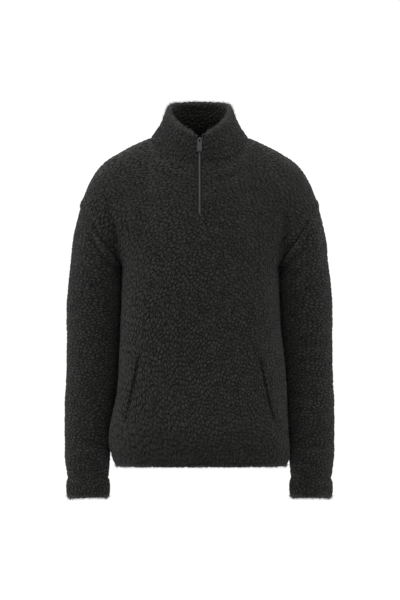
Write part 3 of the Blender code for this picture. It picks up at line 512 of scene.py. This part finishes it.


# %% [markdown]
# Creases are given one line of a table each, because they tell how the garment is sewn and filled. A crease
# is a line in the front view with a bend, a half width and a height, and it fades out towards its ends. The
# ones at the armholes pull down to the underarm, the ones at the collar run round its seam, and small
# puckers sit above the pockets. The back and the hidden sides get similar ones.

# %% Creases
CREASES = (
    # piece, x0, z0, x1, z1 and bend in millimetres, half width, height
    ("front", -246, -140, -166, -246, -7, 4.0, -1.4),
    ("front", -168, -158, -160, -262, -5, 9.0, 2.0),
    ("front", 172, -160, 166, -262, 5, 9.0, 2.0),
    ("front", -236, -142, -160, -236, -8, 5.0, 2.2),
    ("front", -222, -142, -154, -224, -8, 4.2, -2.0),
    ("front", 246, -140, 170, -246, 7, 4.0, -1.4),
    ("front", 236, -142, 164, -236, 8, 5.0, 2.2),
    ("front", 222, -142, 158, -222, 8, 4.2, -2.0),
    ("front", -104, -10, -12, -62, -11, 5.0, -2.0),
    ("front", -108, -22, -20, -74, -12, 5.5, 1.6),
    ("front", -112, -36, -34, -84, -12, 5.0, -1.8),
    ("front", 104, -10, 12, -62, 11, 5.0, -2.0),
    ("front", 108, -22, 20, -74, 12, 5.5, 1.6),
    ("front", 114, -36, 34, -82, 12, 5.0, -1.8),
    ("front", -150, -441, -120, -452, 3, 4.5, 2.6),
    ("front", -146, -432, -124, -440, 3, 4.0, -1.8),
    ("front", 148, -436, 120, -448, -3, 4.5, 2.6),
    ("front", 144, -428, 122, -436, -3, 4.0, -1.8),
    ("front", -127, -457, -154, -598, 0, 5.0, -2.6),
    ("front", 127, -457, 159, -598, 0, 5.0, -2.6),
    ("front", -155, -262, -148, -330, 4, 9.0, -2.4),
    ("front", 158, -262, 150, -322, -4, 9.0, -2.2),
    ("front", -170, -650, -120, -616, 6, 8.0, 2.2),
    ("front", 172, -650, 128, -606, -6, 8.0, 2.0),
    ("front", -60, -655, -46, -616, 2, 8.0, 1.6),
    ("front", 66, -655, 52, -620, -2, 8.0, 1.6),
    ("front", 4, -656, 10, -626, 2, 7.0, 1.4),
    ("back", -246, -140, -166, -246, -7, 4.5, -3.0),
    ("back", -234, -142, -158, -234, -8, 5.0, 2.2),
    ("back", 246, -140, 170, -246, 7, 4.5, -3.0),
    ("back", 234, -142, 162, -234, 8, 5.0, 2.2),
    ("back", -150, -300, -60, -352, -10, 12.0, 3.0),
    ("back", 152, -310, 58, -366, 10, 12.0, 3.0),
    ("back", -142, -352, -40, -392, -10, 11.0, -2.8),
    ("back", 136, -368, 30, -410, 12, 11.0, -2.6),
    ("back", -96, -470, 60, -488, -14, 13.0, 2.4),
    ("back", -170, -650, -110, -612, 6, 8.0, 2.4),
    ("back", 172, -652, 118, -608, -6, 8.0, 2.2),
    ("back", -70, -655, -50, -610, 2, 9.0, 1.8),
    ("back", 40, -655, 58, -612, -2, 9.0, 1.8),
    ("back", -96, 4, 0, -2, 10, 5.0, -2.0),
    ("back", 96, 4, 0, -2, -10, 5.0, -2.0),
    ("sleeve", 226, -160, 164, -250, 5, 2.6, 3.6),
    ("sleeve", 231, -167, 168, -258, 5, 2.6, -3.4),
    ("sleeve", 235, -174, 170, -268, 6, 2.8, 3.6),
    ("sleeve", 240, -184, 172, -282, 7, 4.0, -3.0),
    ("sleeve", 246, -236, 180, -318, 8, 7.0, 1.8),
    ("sleeve", 286, -380, 200, -410, 8, 11.0, 2.6),
    ("sleeve", 288, -410, 204, -432, 8, 10.0, -2.4),
    ("sleeve", 286, -470, 206, -452, -8, 10.0, 2.2),
    ("sleeve", 288, -520, 196, -548, 8, 12.0, -2.2),
    ("sleeve", 290, -590, 200, -610, 8, 11.0, 2.4),
    ("sleeve", 290, -640, 202, -652, 6, 9.0, -2.4),
    ("sleeve", 288, -676, 204, -668, -5, 8.0, 2.6),
    ("sleeve", 286, -700, 206, -698, 4, 6.0, -1.8),
    ("collar", -84, 22, -16, -20, -9, 5.0, -1.8),
    ("collar", 84, 22, 16, -20, 9, 5.0, -1.8),
    ("collar", -78, 40, -30, -4, -6, 6.0, 1.6),
    ("collar", 78, 40, 30, -4, 6, 6.0, 1.6),
    ("collar", -60, 66, 60, 66, 4, 7.0, -1.4),
)


# Folds are deeper than the cloth is thick, so they carry both of its sides, and every piece they cross.
# Here the front rolls back into the armhole, and leaves a soft hollow beside the edge of the body.
FOLDS = (
    # x0, z0, x1, z1 and bend in millimetres, half width, depth at the start and at the end
    (-191, -138, -176, -262, 4, 13.0, 5.0, 20.0),
    (185, -146, 183, -264, -3, 13.0, 5.0, 20.0),
)
DROP = 3.4 * MM


def along_line(seen, x0, z0, x1, z1, bend):
    """Where each point is along a bent line, how far off it, and how far beyond its ends."""
    start, way = np.array([x0, z0], float), np.array([x1 - x0, z1 - z0], float)
    long = np.linalg.norm(way)
    side = np.array([-way[1], way[0]]) / long
    share = ((seen - start) @ way) / long**2
    off = (seen - start) @ side - bend * 4 * share * (1 - share)
    return share, off, np.maximum(np.abs(share - 0.5) - 0.5, 0) * long


def creased(points, piece):
    """How far the creases of a piece push each point out, and the painted light and shade of the narrow ones:
    lighter on a ridge, darker in a valley.
    """
    kind = piece.split("_")[0] if piece.startswith("sleeve") else piece
    seen = points[:, [0, 2]] / MM
    if kind == "sleeve":
        seen = np.abs(seen) * (1, -1)
    rise, tone = np.zeros(len(points)), np.zeros(len(points))
    for name, x0, z0, x1, z1, bend, width, height in CREASES:
        if name == kind:
            share, off, beyond = along_line(seen, x0, z0, x1, z1, bend)
            fade = np.clip(np.sin(np.clip(share, 0, 1) * math.pi), 0, 1) ** 0.5
            bump = fade * np.exp(-((off / width) ** 2) - (beyond / width) ** 2)
            rise += height * bump
            # Painted light and shade: narrow ridges are painted lighter and narrow valleys darker.
            if width <= 5.0:
                tone += np.sign(height) * bump * min(abs(height) / 3.6, 1.0) * (1 if kind == "sleeve" else 0.35)
    return rise * MM, np.clip(tone, -1, 1)


def folded(points):
    """How the folds carry each point back on the front half, and the drop of the shoulder outwards."""
    seen = points[:, [0, 2]] / MM
    ahead = np.clip((14 * MM - points[:, 1]) / (34 * MM), 0, 1)
    back = np.zeros(len(points))
    for x0, z0, x1, z1, bend, width, first, last in FOLDS:
        share, off, beyond = along_line(seen, x0, z0, x1, z1, bend)
        depth = first + (last - first) * np.clip(share, 0, 1)
        back += depth * np.exp(-((off / width) ** 2) - (beyond / (1.6 * width)) ** 2)
    beyond = np.clip((np.abs(points[:, 0]) / MM - 222) / 22, 0, 1)
    out = DROP * beyond**2 * np.exp(-(((seen[:, 1] + 131) / 8.0) ** 2)) * np.sign(points[:, 0])
    back *= MM * ahead * ahead * (3 - 2 * ahead)
    return np.stack([out, back, np.zeros(len(points))], axis=1)


# %% [markdown]
# Now the cloth is dressed. Every point of the shown sides moves along its own normal: in at a crevice, a
# little out on a dome, with the creases, and down beside a seam, where the stitches pull the pile in.
# The seams are the lines where a shown face meets the wall of a seam. The one at the hem isn't sunk,
# because the photo shows none there.

# %% Dress a piece of cloth
def flat_of(node, points):
    """Where each point would be if its piece was laid flat, for the pattern of the grains."""
    x, y, z = points.T
    if node.startswith(("sleeve", "cuff")):
        from_axis = points - hollow(node, points)
        side = np.sign(x.mean())
        u, v = np.arctan2(-from_axis[:, 1], side * from_axis[:, 0]) * side * 0.065, z
    elif node == "collar":
        u, v = np.arctan2(x, y + 0.012) * 0.078, z
    else:
        back_half = (node == "back") | ((node == "hem_band") & (y > 0))
        behind = np.maximum(np.where(back_half, 0.133 - y, y + 0.134), 0)
        top = np.clip((z + 0.15) / 0.10, 0, 1)
        top = top * top * (3 - 2 * top)
        u = x + x / (np.abs(x) + 0.06) * 0.75 * behind * (1 - top)
        v = z + 0.75 * behind * top
    return np.stack([u, v, np.zeros(len(points))], axis=1)


def add_flat(mesh, values):
    layer = mesh.attributes.new("flat", "FLOAT_VECTOR", "POINT")
    layer.data.foreach_set("vector", np.asarray(values, np.float32).ravel())


PILE_DEEP, PILE_DOME, PILE_LIFT = 2.2 * MM, 1.2 * MM, 1.7 * MM
INNER_LIFT, DEEPEST, DEEPEST_SEAM = -0.4 * MM, -4.0 * MM, -3.4 * MM
HEM_SEAM, HEM_SEAM_HALF, SEAM_REACH = -0.660, 8 * MM, 4.2 * MM
OUTSIDE = {"collar": SHERPA_COLLAR_SHADED, "sleeve": SHERPA_SLEEVE_SHADED, "cuff": SHERPA_SLEEVE_SHADED}
SEAM_SINK = {"front": 0.8, "back": 1.0, "sleeve_left": 0.8, "sleeve_right": 0.8, "collar": 0.9,
             "hem_band": 0.5, "cuff_left": 1.4, "cuff_right": 1.4}


def outward_of(mesh, both):
    """Positions, which points are shown, their normals from the shown faces alone, and the seam points."""
    count = len(mesh.vertices)
    places = np.empty(count * 3)
    mesh.vertices.foreach_get("co", places)
    places = places.reshape(-1, 3)
    kinds = np.empty(len(mesh.polygons), np.int32)
    mesh.polygons.foreach_get("material_index", kinds)
    ways = np.empty(len(mesh.polygons) * 3)
    mesh.polygons.foreach_get("normal", ways)
    areas = np.empty(len(mesh.polygons))
    mesh.polygons.foreach_get("area", areas)
    totals = np.empty(len(mesh.polygons), np.int32)
    mesh.polygons.foreach_get("loop_total", totals)
    corners = np.empty(len(mesh.loops), np.int32)
    mesh.loops.foreach_get("vertex_index", corners)
    face_of = np.repeat(np.arange(len(mesh.polygons)), totals)
    pile_face = (kinds == OUTER) | (both & (kinds == INNER))
    use = pile_face[face_of]
    normals = np.zeros((count, 3))
    np.add.at(normals, corners[use], (ways.reshape(-1, 3) * areas[:, None])[face_of[use]])
    shown = np.zeros(count, bool)
    shown[corners[use]] = True
    walls = np.zeros(count, bool)
    walls[corners[kinds[face_of] == WALL]] = True
    normals /= np.maximum(np.linalg.norm(normals, axis=1, keepdims=True), 1e-12)
    return places, shown, normals, shown & walls


def distance_to(points, targets, most):
    tree = kdtree.KDTree(len(targets))
    for i, p in enumerate(targets):
        tree.insert(p, i)
    tree.balance()
    return np.array([min(tree.find(p)[2], most) for p in points])


def add_number(mesh, name, values):
    layer = mesh.attributes.new(name, "FLOAT", "POINT")
    layer.data.foreach_set("value", np.asarray(values, np.float32))


def dress(node, cuts, seed, both=False, deep=1.0):
    """Builds the cloth piece that stands for a CAD node."""
    obj = refined(node, cuts, both)
    mesh = obj.data
    places = outward_of(mesh, both)[0]
    add_flat(mesh, flat_of(node, places))
    places += folded(places)
    mesh.vertices.foreach_set("co", places.ravel())
    mesh.update()
    places, shown, normals, seam = outward_of(mesh, both)
    points, ways = places[shown], normals[shown]
    height, dome, tone = curls(points, ways, seed)
    side = np.sum(ways * (points - hollow(node, points)), axis=1)
    lift = np.where(side > -1 * MM, PILE_LIFT, INNER_LIFT)
    rise, cloud_tone_and_crease_shade = creased(points, node)
    # Painted light and shade from the narrow creases: a ridge raises the pile and lightens its colour, a valley
    # lowers it and darkens it.
    height = np.where(cloud_tone_and_crease_shade > 0, height + (1 - height) * cloud_tone_and_crease_shade * 0.8, height * (1 + 0.6 * cloud_tone_and_crease_shade))
    # Painted shade: the pile of the body pieces is lowered towards the hem, and that of the collar a little, so
    # their colour is darker there. The lower pile also sinks the curls a little.
    low = np.clip((-0.640 - points[:, 2]) / 0.03, 0, 1) * (node in ("front", "back", "hem_band"))
    height *= (1 - 0.10 * low) * (0.96 if node == "collar" else 1)
    move = (height - 1) * PILE_DEEP * deep + (dome * height - 0.45) * PILE_DOME + lift + rise
    lumps = np.array([noise.noise(Vector(p) * 34.0 + Vector((seed, 0, 0))) for p in points])
    move += lumps * 0.8 * MM
    sunk = seam & (np.abs(places[:, 2] - HEM_SEAM) > HEM_SEAM_HALF)
    if sunk.any():
        gap = distance_to(points, places[sunk], 30 * MM)
        move -= SEAM_SINK[node] * MM * np.exp(-((gap / SEAM_REACH) ** 2))
        at_seam = gap < 0.4 * MM
        move[at_seam] = np.maximum(move[at_seam], DEEPEST_SEAM)
    places[shown] = points + ways * np.maximum(move, DEEPEST)[:, None]
    mesh.vertices.foreach_set("co", places.ravel())
    rim = np.zeros(len(points))
    # Painted highlight along the rolled top edge of the collar, stronger on its inner side.
    if node == "collar":
        roll = points[(ways[:, 2] > 0.6) & (points[:, 2] > 20 * MM)]
        wide = 4.5 * MM + np.clip(np.abs(points[:, 0]) / MM - 38, 0, 12) * 0.5 * MM
        rim = 0.75 * np.exp(-((distance_to(points, roll, 30 * MM) / wide) ** 2)) * np.where(side > 0, 0.35, 1)
    for name, values, unseen in (("pile", height, 0.35), ("curl", tone, 0.5), ("rim", rim, 0.0)):
        whole = np.full(len(places), unseen)
        whole[shown] = values
        add_number(mesh, name, whole)
    mesh.materials.clear()
    shows = OUTSIDE.get(node.split("_")[0], SHERPA)
    for finish in (shows, SHERPA_INSIDE_LIT if both else BACKING, shows):
        mesh.materials.append(finish)
    mesh.update()
    triangles = sum(len(p.vertices) - 2 for p in mesh.polygons)
    print(node, len(mesh.vertices), "points,", triangles, "triangles")
    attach(obj, "garment")
    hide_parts(node)
    return obj


# %% Front, back, sleeves, collar, hem band and cuffs
front = dress("front", 4, 11)
back = dress("back", 4, 23)
sleeve_left = dress("sleeve_left", 3, 31)
sleeve_right = dress("sleeve_right", 3, 37)
collar = dress("collar", 5, 41, both=True, deep=0.85)
hem = dress("hem_band", 3, 43, deep=0.9)
cuff_left = dress("cuff_left", 3, 47, deep=0.9)
cuff_right = dress("cuff_right", 3, 53, deep=0.9)

# %% [markdown]
# The pocket welts are folded strips sewn on the front. They are narrow, so an even grid from a voxel
# remesh suits them better than a subdivision, and it rounds their folded edges at the same time.

# %% Pocket welts
def dress_welt(node, seed):
    """Builds the pile of one welt."""
    bm = welded(node)
    obj = from_bmesh(node + "_pile", bm)
    mesh = obj.data
    even = obj.modifiers.new("even", "REMESH")
    even.mode, even.voxel_size = "VOXEL", 1.5 * MM
    bm = applied(obj)
    smoothed(bm, bm.verts, 3)
    bm.normal_update()
    bm.to_mesh(mesh)
    bm.free()
    places = np.array([v.co for v in mesh.vertices])
    normals = np.array([v.normal for v in mesh.vertices])
    height, dome, tone = curls(places, normals, seed)
    out = np.clip(np.sum(normals * (places - hollow(node, places)), axis=1) / (60 * MM), 0, 1)
    move = ((height - 1) * PILE_DEEP * 0.8 + dome * PILE_DOME * 0.6) * out
    places = places + normals * (move + 1.9 * MM * out)[:, None]
    mesh.vertices.foreach_set("co", places.ravel())
    add_flat(mesh, flat_of("front", places))
    add_number(mesh, "pile", height)
    add_number(mesh, "curl", tone)
    mesh.materials.clear()
    mesh.materials.append(SHERPA)
    mesh.shade_smooth()
    mesh.update()
    print(node, len(mesh.vertices), "points")
    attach(obj, "garment")
    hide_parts(node)
    return obj


welt_left = dress_welt("pocket_welt_left", 61)
welt_right = dress_welt("pocket_welt_right", 67)

# %% [markdown]
# The zip is metal and nylon, and its solid parts already have the right shape. Each one is copied, its flat
# faces are joined again, and its sharp edges get a small bevel, because a cast edge always catches a line
# of light. Gunmetal is dark nickel: the metal shows grey, worn a little lighter along the edges.

# %% Zip metal
def gunmetal_finish(name, shaded_below_eye=False):
    """Dark nickel. The shaded one is painted nearly black below the eye of the pull, a painted shadow where the
    pull shades the slider, so nothing shines behind it.
    """
    cast = Finish(name)
    brushed = cast.grain(900.0, 3.0, place=cast.place(stretch=(1.0, 1.0, 0.12)))
    cloud = cast.grain(220.0, 2.0)
    worn = cast.node("ShaderNodeNewGeometry", output="Pointiness")
    edge = ((worn - 0.5) * 9.0).clamped()
    light = cast.blend(brushed * 0.6 + cloud * 0.4, rgb(0.016, 0.017, 0.018), rgb(0.036, 0.038, 0.040))
    polished = cast.blend(edge, light, rgb(0.045, 0.046, 0.048))
    if shaded_below_eye:
        # Painted shadow: below the eye of the pull the metal is painted nearly black.
        clear = ((cast.height_here() - 0.0052) * 900.0).clamped()
        polished = cast.blend(clear, rgb(0.002, 0.002, 0.002), polished)
    cast.set(Base_Color=polished, Metallic=1.0,
             Roughness=0.46 + brushed * 0.16, Normal=cast.bump(brushed, 0.05 * MM, 0.4))
    return cast.material


GUNMETAL = gunmetal_finish("gunmetal")
GUNMETAL_SHADED = gunmetal_finish("gunmetal_shaded", shaded_below_eye=True)


SHARP_FROM = math.radians(40)


def finish_piece(obj, node, material, body="garment"):
    mesh = obj.data
    mesh.materials.clear()
    mesh.materials.append(material)
    mesh.shade_smooth()
    mesh.set_sharp_from_angle(angle=SHARP_FROM)
    even = obj.modifiers.new("even_shading", "WEIGHTED_NORMAL")
    even.keep_sharp = True
    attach(obj, body)
    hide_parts(node)
    print(obj.name, len(mesh.polygons), "faces")
    return obj


def bevelled_part(node, name, offset):
    bm = bmesh.new()
    bm.from_mesh(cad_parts[node].data)
    bmesh.ops.remove_doubles(bm, verts=bm.verts, dist=0.005 * MM)
    bmesh.ops.dissolve_limit(bm, angle_limit=math.radians(2), verts=bm.verts, edges=bm.edges)
    bm.normal_update()
    sharp = [e for e in bm.edges if len(e.link_faces) == 2 and e.calc_face_angle() > math.radians(35)]
    bmesh.ops.bevel(bm, geom=sharp, offset=offset, offset_type="OFFSET", segments=2, profile=0.5,
                    affect="EDGES", material=-1, clamp_overlap=True)
    obj = from_bmesh(name, bm)
    drop_layers(obj.data, "custom_normal")
    return obj


finish_piece(bevelled_part("zip_pull", "zip_pull_plate", 0.22 * MM), "zip_pull", GUNMETAL, "pull_tab")
finish_piece(bevelled_part("zip_slider", "zip_slider_body", 0.18 * MM), "zip_slider", GUNMETAL_SHADED)
finish_piece(bevelled_part("zip_stop", "zip_stop_clip", 0.25 * MM), "zip_stop", GUNMETAL)

# %% [markdown]
# The coil is one nylon thread wound into two rows of loops that hook into each other. Seen from the front
# it is a ladder of short rounded bars, each from one side to just past the middle. One bar is modelled
# with a bevel and repeated along the line of the CAD strip, in turn from the left and from the right,
# with a flat cord behind them.

# %% Zip coil
TOOTH_PITCH = 0.78 * MM


def coil_line():
    """The middle of the CAD strip, from its lower end up."""
    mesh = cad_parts["zip_coil"].data
    places = np.array([v.co for v in mesh.vertices])
    side = np.unique(np.round(places[places[:, 0] > 0], 6), axis=0)
    left = list(side[np.argsort(side[:, 2])])
    rows = []
    while len(left) > 1:
        first = left.pop(0)
        near = min(range(len(left)), key=lambda k: np.linalg.norm(left[k] - first))
        rows.append((first + left.pop(near)) / 2)
    return np.array(rows) * (0, 1, 1)


def upright_turn(step):
    """Turns x to stay level and z to follow a step along the coil."""
    return Matrix((Vector((1, 0, 0)), -Vector((0, -step.z, step.y)), step)).transposed().to_4x4()


def coil_piece():
    line = coil_line()
    steps = np.linalg.norm(np.diff(line, axis=0), axis=1)
    travel = np.concatenate([[0], np.cumsum(steps)])
    tooth = bmesh.new()
    bmesh.ops.create_cube(tooth, size=1.0)
    bmesh.ops.scale(tooth, verts=tooth.verts, vec=(2.9 * MM, 1.9 * MM, 0.62 * MM))
    bmesh.ops.bevel(tooth, geom=tooth.edges[:], offset=0.28 * MM, offset_type="OFFSET", segments=2,
                    profile=0.5, affect="EDGES", material=-1, clamp_overlap=True)
    bar = bpy.data.meshes.new("bar")
    tooth.to_mesh(bar)
    count = len(tooth.verts)
    tooth.free()
    bm = bmesh.new()
    for k in range(int(travel[-1] / TOOTH_PITCH)):
        s = (k + 0.5) * TOOTH_PITCH
        spot = Vector([np.interp(s, travel, line[:, c]) for c in range(3)])
        ahead = Vector([np.interp(min(s + MM, travel[-1]), travel, line[:, c]) for c in range(3)])
        behind = Vector([np.interp(max(s - MM, 0), travel, line[:, c]) for c in range(3)])
        step = (ahead - behind).normalized()
        turn = upright_turn(step)
        side = 1 if k % 2 else -1
        lean = Matrix.Rotation(math.radians(6 * side), 4, "Y")
        place = Matrix.Translation(spot) @ turn @ Matrix.Translation((side * 0.70 * MM, 0, 0)) @ lean
        bm.from_mesh(bar)
        bm.verts.ensure_lookup_table()
        bmesh.ops.transform(bm, matrix=place, verts=bm.verts[-count:])
    core = len(bm.verts)
    for a, b in zip(line[:-1], line[1:]):
        made = bmesh.ops.create_cube(bm, size=1.0)["verts"]
        way = Vector(b - a)
        turn = upright_turn(way.normalized())
        bmesh.ops.scale(bm, verts=made, vec=(3.4 * MM, 0.7 * MM, way.length + 0.1 * MM))
        bmesh.ops.transform(bm, matrix=Matrix.Translation(Vector(a + b) / 2) @ turn, verts=made)
    bpy.data.meshes.remove(bar)
    print("coil", core, "points in the bars")
    return from_bmesh("zip_coil_bars", bm)


def nylon_finish():
    nylon = Finish("coil_nylon")
    sheen = nylon.grain(1200.0, 2.0)
    nylon.set(Base_Color=nylon.blend(sheen, rgb(0.036, 0.036, 0.038), rgb(0.064, 0.065, 0.069)),
              Roughness=0.34 + sheen * 0.12, Normal=nylon.bump(sheen, 0.04 * MM, 0.4))
    return nylon.material


finish_piece(coil_piece(), "zip_coil", nylon_finish())

# %% [markdown]
# The tapes are woven twill ribbons behind the slit. Only a thin line of each shows beside the coil. The
# twill is two crossed sets of fine bands, one of them leaning.

# %% Zip tapes
def twill_finish():
    twill = Finish("zip_twill")
    rib = twill.node("ShaderNodeTexWave", {"wave_type": "BANDS", "bands_direction": "DIAGONAL"},
                     {"Vector": twill.place(), "Scale": 420.0, "Distortion": 0.6})
    weft = twill.node("ShaderNodeTexWave", {"wave_type": "BANDS", "bands_direction": "X"},
                      {"Vector": twill.place(), "Scale": 600.0, "Distortion": 0.4})
    weave = rib * 0.6 + weft * 0.4
    twill.set(Base_Color=twill.blend(weave, rgb(0.006, 0.006, 0.006), rgb(0.020, 0.020, 0.020)),
              Roughness=0.9 - weave * 0.1, Normal=twill.bump(weave, 0.15 * MM, 0.7),
              Sheen_Weight=0.1, Specular_IOR_Level=0.2)
    return twill.material


TWILL = twill_finish()


def tape_piece(node, name):
    bm = welded(node)
    bmesh.ops.subdivide_edges(bm, edges=bm.edges[:], cuts=3, use_grid_fill=True)
    return from_bmesh(name, bm)


tape_left = finish_piece(tape_piece("zip_tape_left", "zip_tape_left_twill"), "zip_tape_left", TWILL)
tape_right = finish_piece(tape_piece("zip_tape_right", "zip_tape_right_twill"), "zip_tape_right", TWILL)

# %% [markdown]
# Last come the loose fibre ends. They are too few to change the colour, but against the light they give
# the garment its soft edge, most of all along the top of the collar and below the hem and cuffs, where
# the cloth is folded over. Each fibre is a narrow bent blade: a root point is extruded twice along a
# wandering way, and the two edges are extruded sideways into faces that narrow to the tip.

# %% Loose fibres
def fibre_finish():
    hair = Finish("loose_fibre")
    tone = hair.grain(300.0, 1.0)
    hair.set(Base_Color=hair.blend(tone, rgb(0.020, 0.020, 0.019), rgb(0.090, 0.089, 0.084)),
             Roughness=0.9 - tone * 0.1, Sheen_Weight=0.1, Specular_IOR_Level=0.2)
    return hair.material


FIBRE = fibre_finish()
FIBRE_SHORT, FIBRE_LONG, FIBRE_WIDE, ROOT_DEEP = 1.8, 4.4, 0.15, 0.6
EDGE_LONGER = 1.5
UNSEEN_PILE = np.float32(0.35)


def fibres(cloth, node, count, seed, edge=None, edge_count=0):
    """Blades that stand on the shown side of a piece, denser where edge says so, and none beside the zip."""
    mesh = cloth.data
    total = len(mesh.vertices)
    places, ways = np.empty(total * 3), np.empty(total * 3)
    mesh.vertices.foreach_get("co", places)
    mesh.vertices.foreach_get("normal", ways)
    places, ways = places.reshape(-1, 3), ways.reshape(-1, 3)
    pile = np.empty(total, np.float32)
    mesh.attributes["pile"].data.foreach_get("value", pile)
    rng = np.random.default_rng(seed)
    at_zip = (np.abs(places[:, 0]) < 13 * MM) & (places[:, 1] < 0) & (places[:, 2] > -200 * MM)
    fair = np.flatnonzero((pile > 0.4) & (pile != UNSEEN_PILE) & ~at_zip)
    picked = rng.choice(fair, min(count, len(fair)), replace=False)
    if edge is not None:
        rim = fair[edge(places[fair], ways[fair])]
        picked = np.concatenate([picked, rng.choice(rim, min(edge_count, len(rim)), replace=False)])
    roots, out = places[picked], ways[picked]
    aside = rng.normal(size=roots.shape)
    aside -= out * np.sum(aside * out, axis=1, keepdims=True)
    aside /= np.linalg.norm(aside, axis=1, keepdims=True)
    long = rng.uniform(FIBRE_SHORT, FIBRE_LONG, len(picked))[:, None] * MM
    long[count:] *= EDGE_LONGER
    knee = roots + out * long * 0.55 + aside * long * 0.25
    tip = knee + out * long * 0.35 + aside * long * rng.uniform(0.1, 0.6, len(picked))[:, None]
    wide = np.cross(out, aside) * FIBRE_WIDE * MM
    bm = bmesh.new()
    feet = [bm.verts.new(p) for p in roots - out * ROOT_DEEP * MM]
    line = feet
    stems = []
    for spots in (knee, tip):
        made = bmesh.ops.extrude_vert_indiv(bm, verts=line)
        line = made["verts"]
        stems += made["edges"]
        for vert, spot in zip(line, spots):
            vert.co = spot
    spread = bmesh.ops.extrude_edge_only(bm, edges=stems)["geom"]
    side_of = {tuple(vert.co): way for vert, way in zip(feet, wide)}
    for spots, share in ((knee, 0.9), (tip, 0.35)):
        for spot, way in zip(spots, wide):
            side_of[tuple(Vector(spot))] = way * share
    for vert in spread:
        if isinstance(vert, bmesh.types.BMVert):
            vert.co += Vector(side_of.get(tuple(vert.co), (0.0, 0.0, 0.0)))
    obj = from_bmesh(node + "_fibres", bm)
    obj.data.materials.append(FIBRE)
    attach(obj, "garment")
    print(obj.name, len(obj.data.polygons), "faces")
    return obj


def low_edge(limit):
    return lambda places, ways: (places[:, 2] < limit * MM) & (ways[:, 2] < 0.3)


def collar_edge(places, ways):
    return (ways[:, 2] > 0.4) & (places[:, 2] > 4 * MM + 0.6 * np.abs(places[:, 0]))


fibres(front, "front", 5500, 71)
fibres(back, "back", 5000, 73)
fibres(sleeve_left, "sleeve_left", 4000, 79)
fibres(sleeve_right, "sleeve_right", 4000, 83)
fibres(collar, "collar", 1500, 89, collar_edge, 9000)
fibres(hem, "hem_band", 1200, 97, low_edge(-690), 9000)
fibres(cuff_left, "cuff_left", 400, 101, low_edge(-756), 2500)
fibres(cuff_right, "cuff_right", 400, 103, low_edge(-756), 2500)

# %% [markdown]

# %% [markdown]
# The floor is a wide pale sheet far below, and the world is white, so the picture has the plain white
# ground of a studio. The white world lights the cloth softly from all round. Two large lights at the
# sides brighten the outer edges of the sleeves, the left one more. One from behind and one from above
# light the shoulders and the collar.

# %% Floor and light
def pale_floor():
    bm = bmesh.new()
    bmesh.ops.create_circle(bm, cap_ends=True, segments=96, radius=8.0)
    bmesh.ops.translate(bm, verts=bm.verts, vec=(0, 0, -1.35))
    floor = from_bmesh("floor", bm)
    pale = Finish("pale_floor")
    soft = pale.grain(3.0, 1.0)
    pale.set(Base_Color=pale.blend(soft, rgb(0.70, 0.70, 0.70), rgb(0.74, 0.74, 0.74)), Roughness=0.9)
    floor.data.materials.append(pale.material)
    floor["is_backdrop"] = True


pale_floor()
world = bpy.data.worlds.new("studio")
bpy.context.scene.world = world
world.use_nodes = True
ground = world.node_tree.nodes["Background"]
ground.inputs["Color"].default_value = rgb(1.0, 1.0, 1.0)
ground.inputs["Strength"].default_value = 1.06


LIT_POINT, LAMP_WIDE = Vector((0, 0, -0.35)), 1.6


def soft_light(name, place, watts):
    data = bpy.data.lights.new(name, "AREA")
    data.shape, data.size, data.energy = "DISK", LAMP_WIDE, watts
    lamp = bpy.data.objects.new(name, data)
    lamp.location = place
    lamp.rotation_mode = "QUATERNION"
    lamp.rotation_quaternion = (LIT_POINT - Vector(place)).to_track_quat("-Z", "Y")
    bpy.context.scene.collection.objects.link(lamp)


soft_light("left", (-3.4, -1.7, 1.0), 70)
soft_light("right", (3.5, -1.3, 1.0), 32)
soft_light("behind", (0, 2.8, 2.5), 150)
soft_light("top", (0, -1.2, 3.6), 75)
bpy.context.scene.view_settings.view_transform = "Standard"

# %% Sizes and the end
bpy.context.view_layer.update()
added = {o.name: sum(len(p.vertices) - 2 for p in o.data.polygons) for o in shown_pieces()}
print("triangles", sum(added.values()), "most in one piece", max(added.items(), key=lambda item: item[1]))
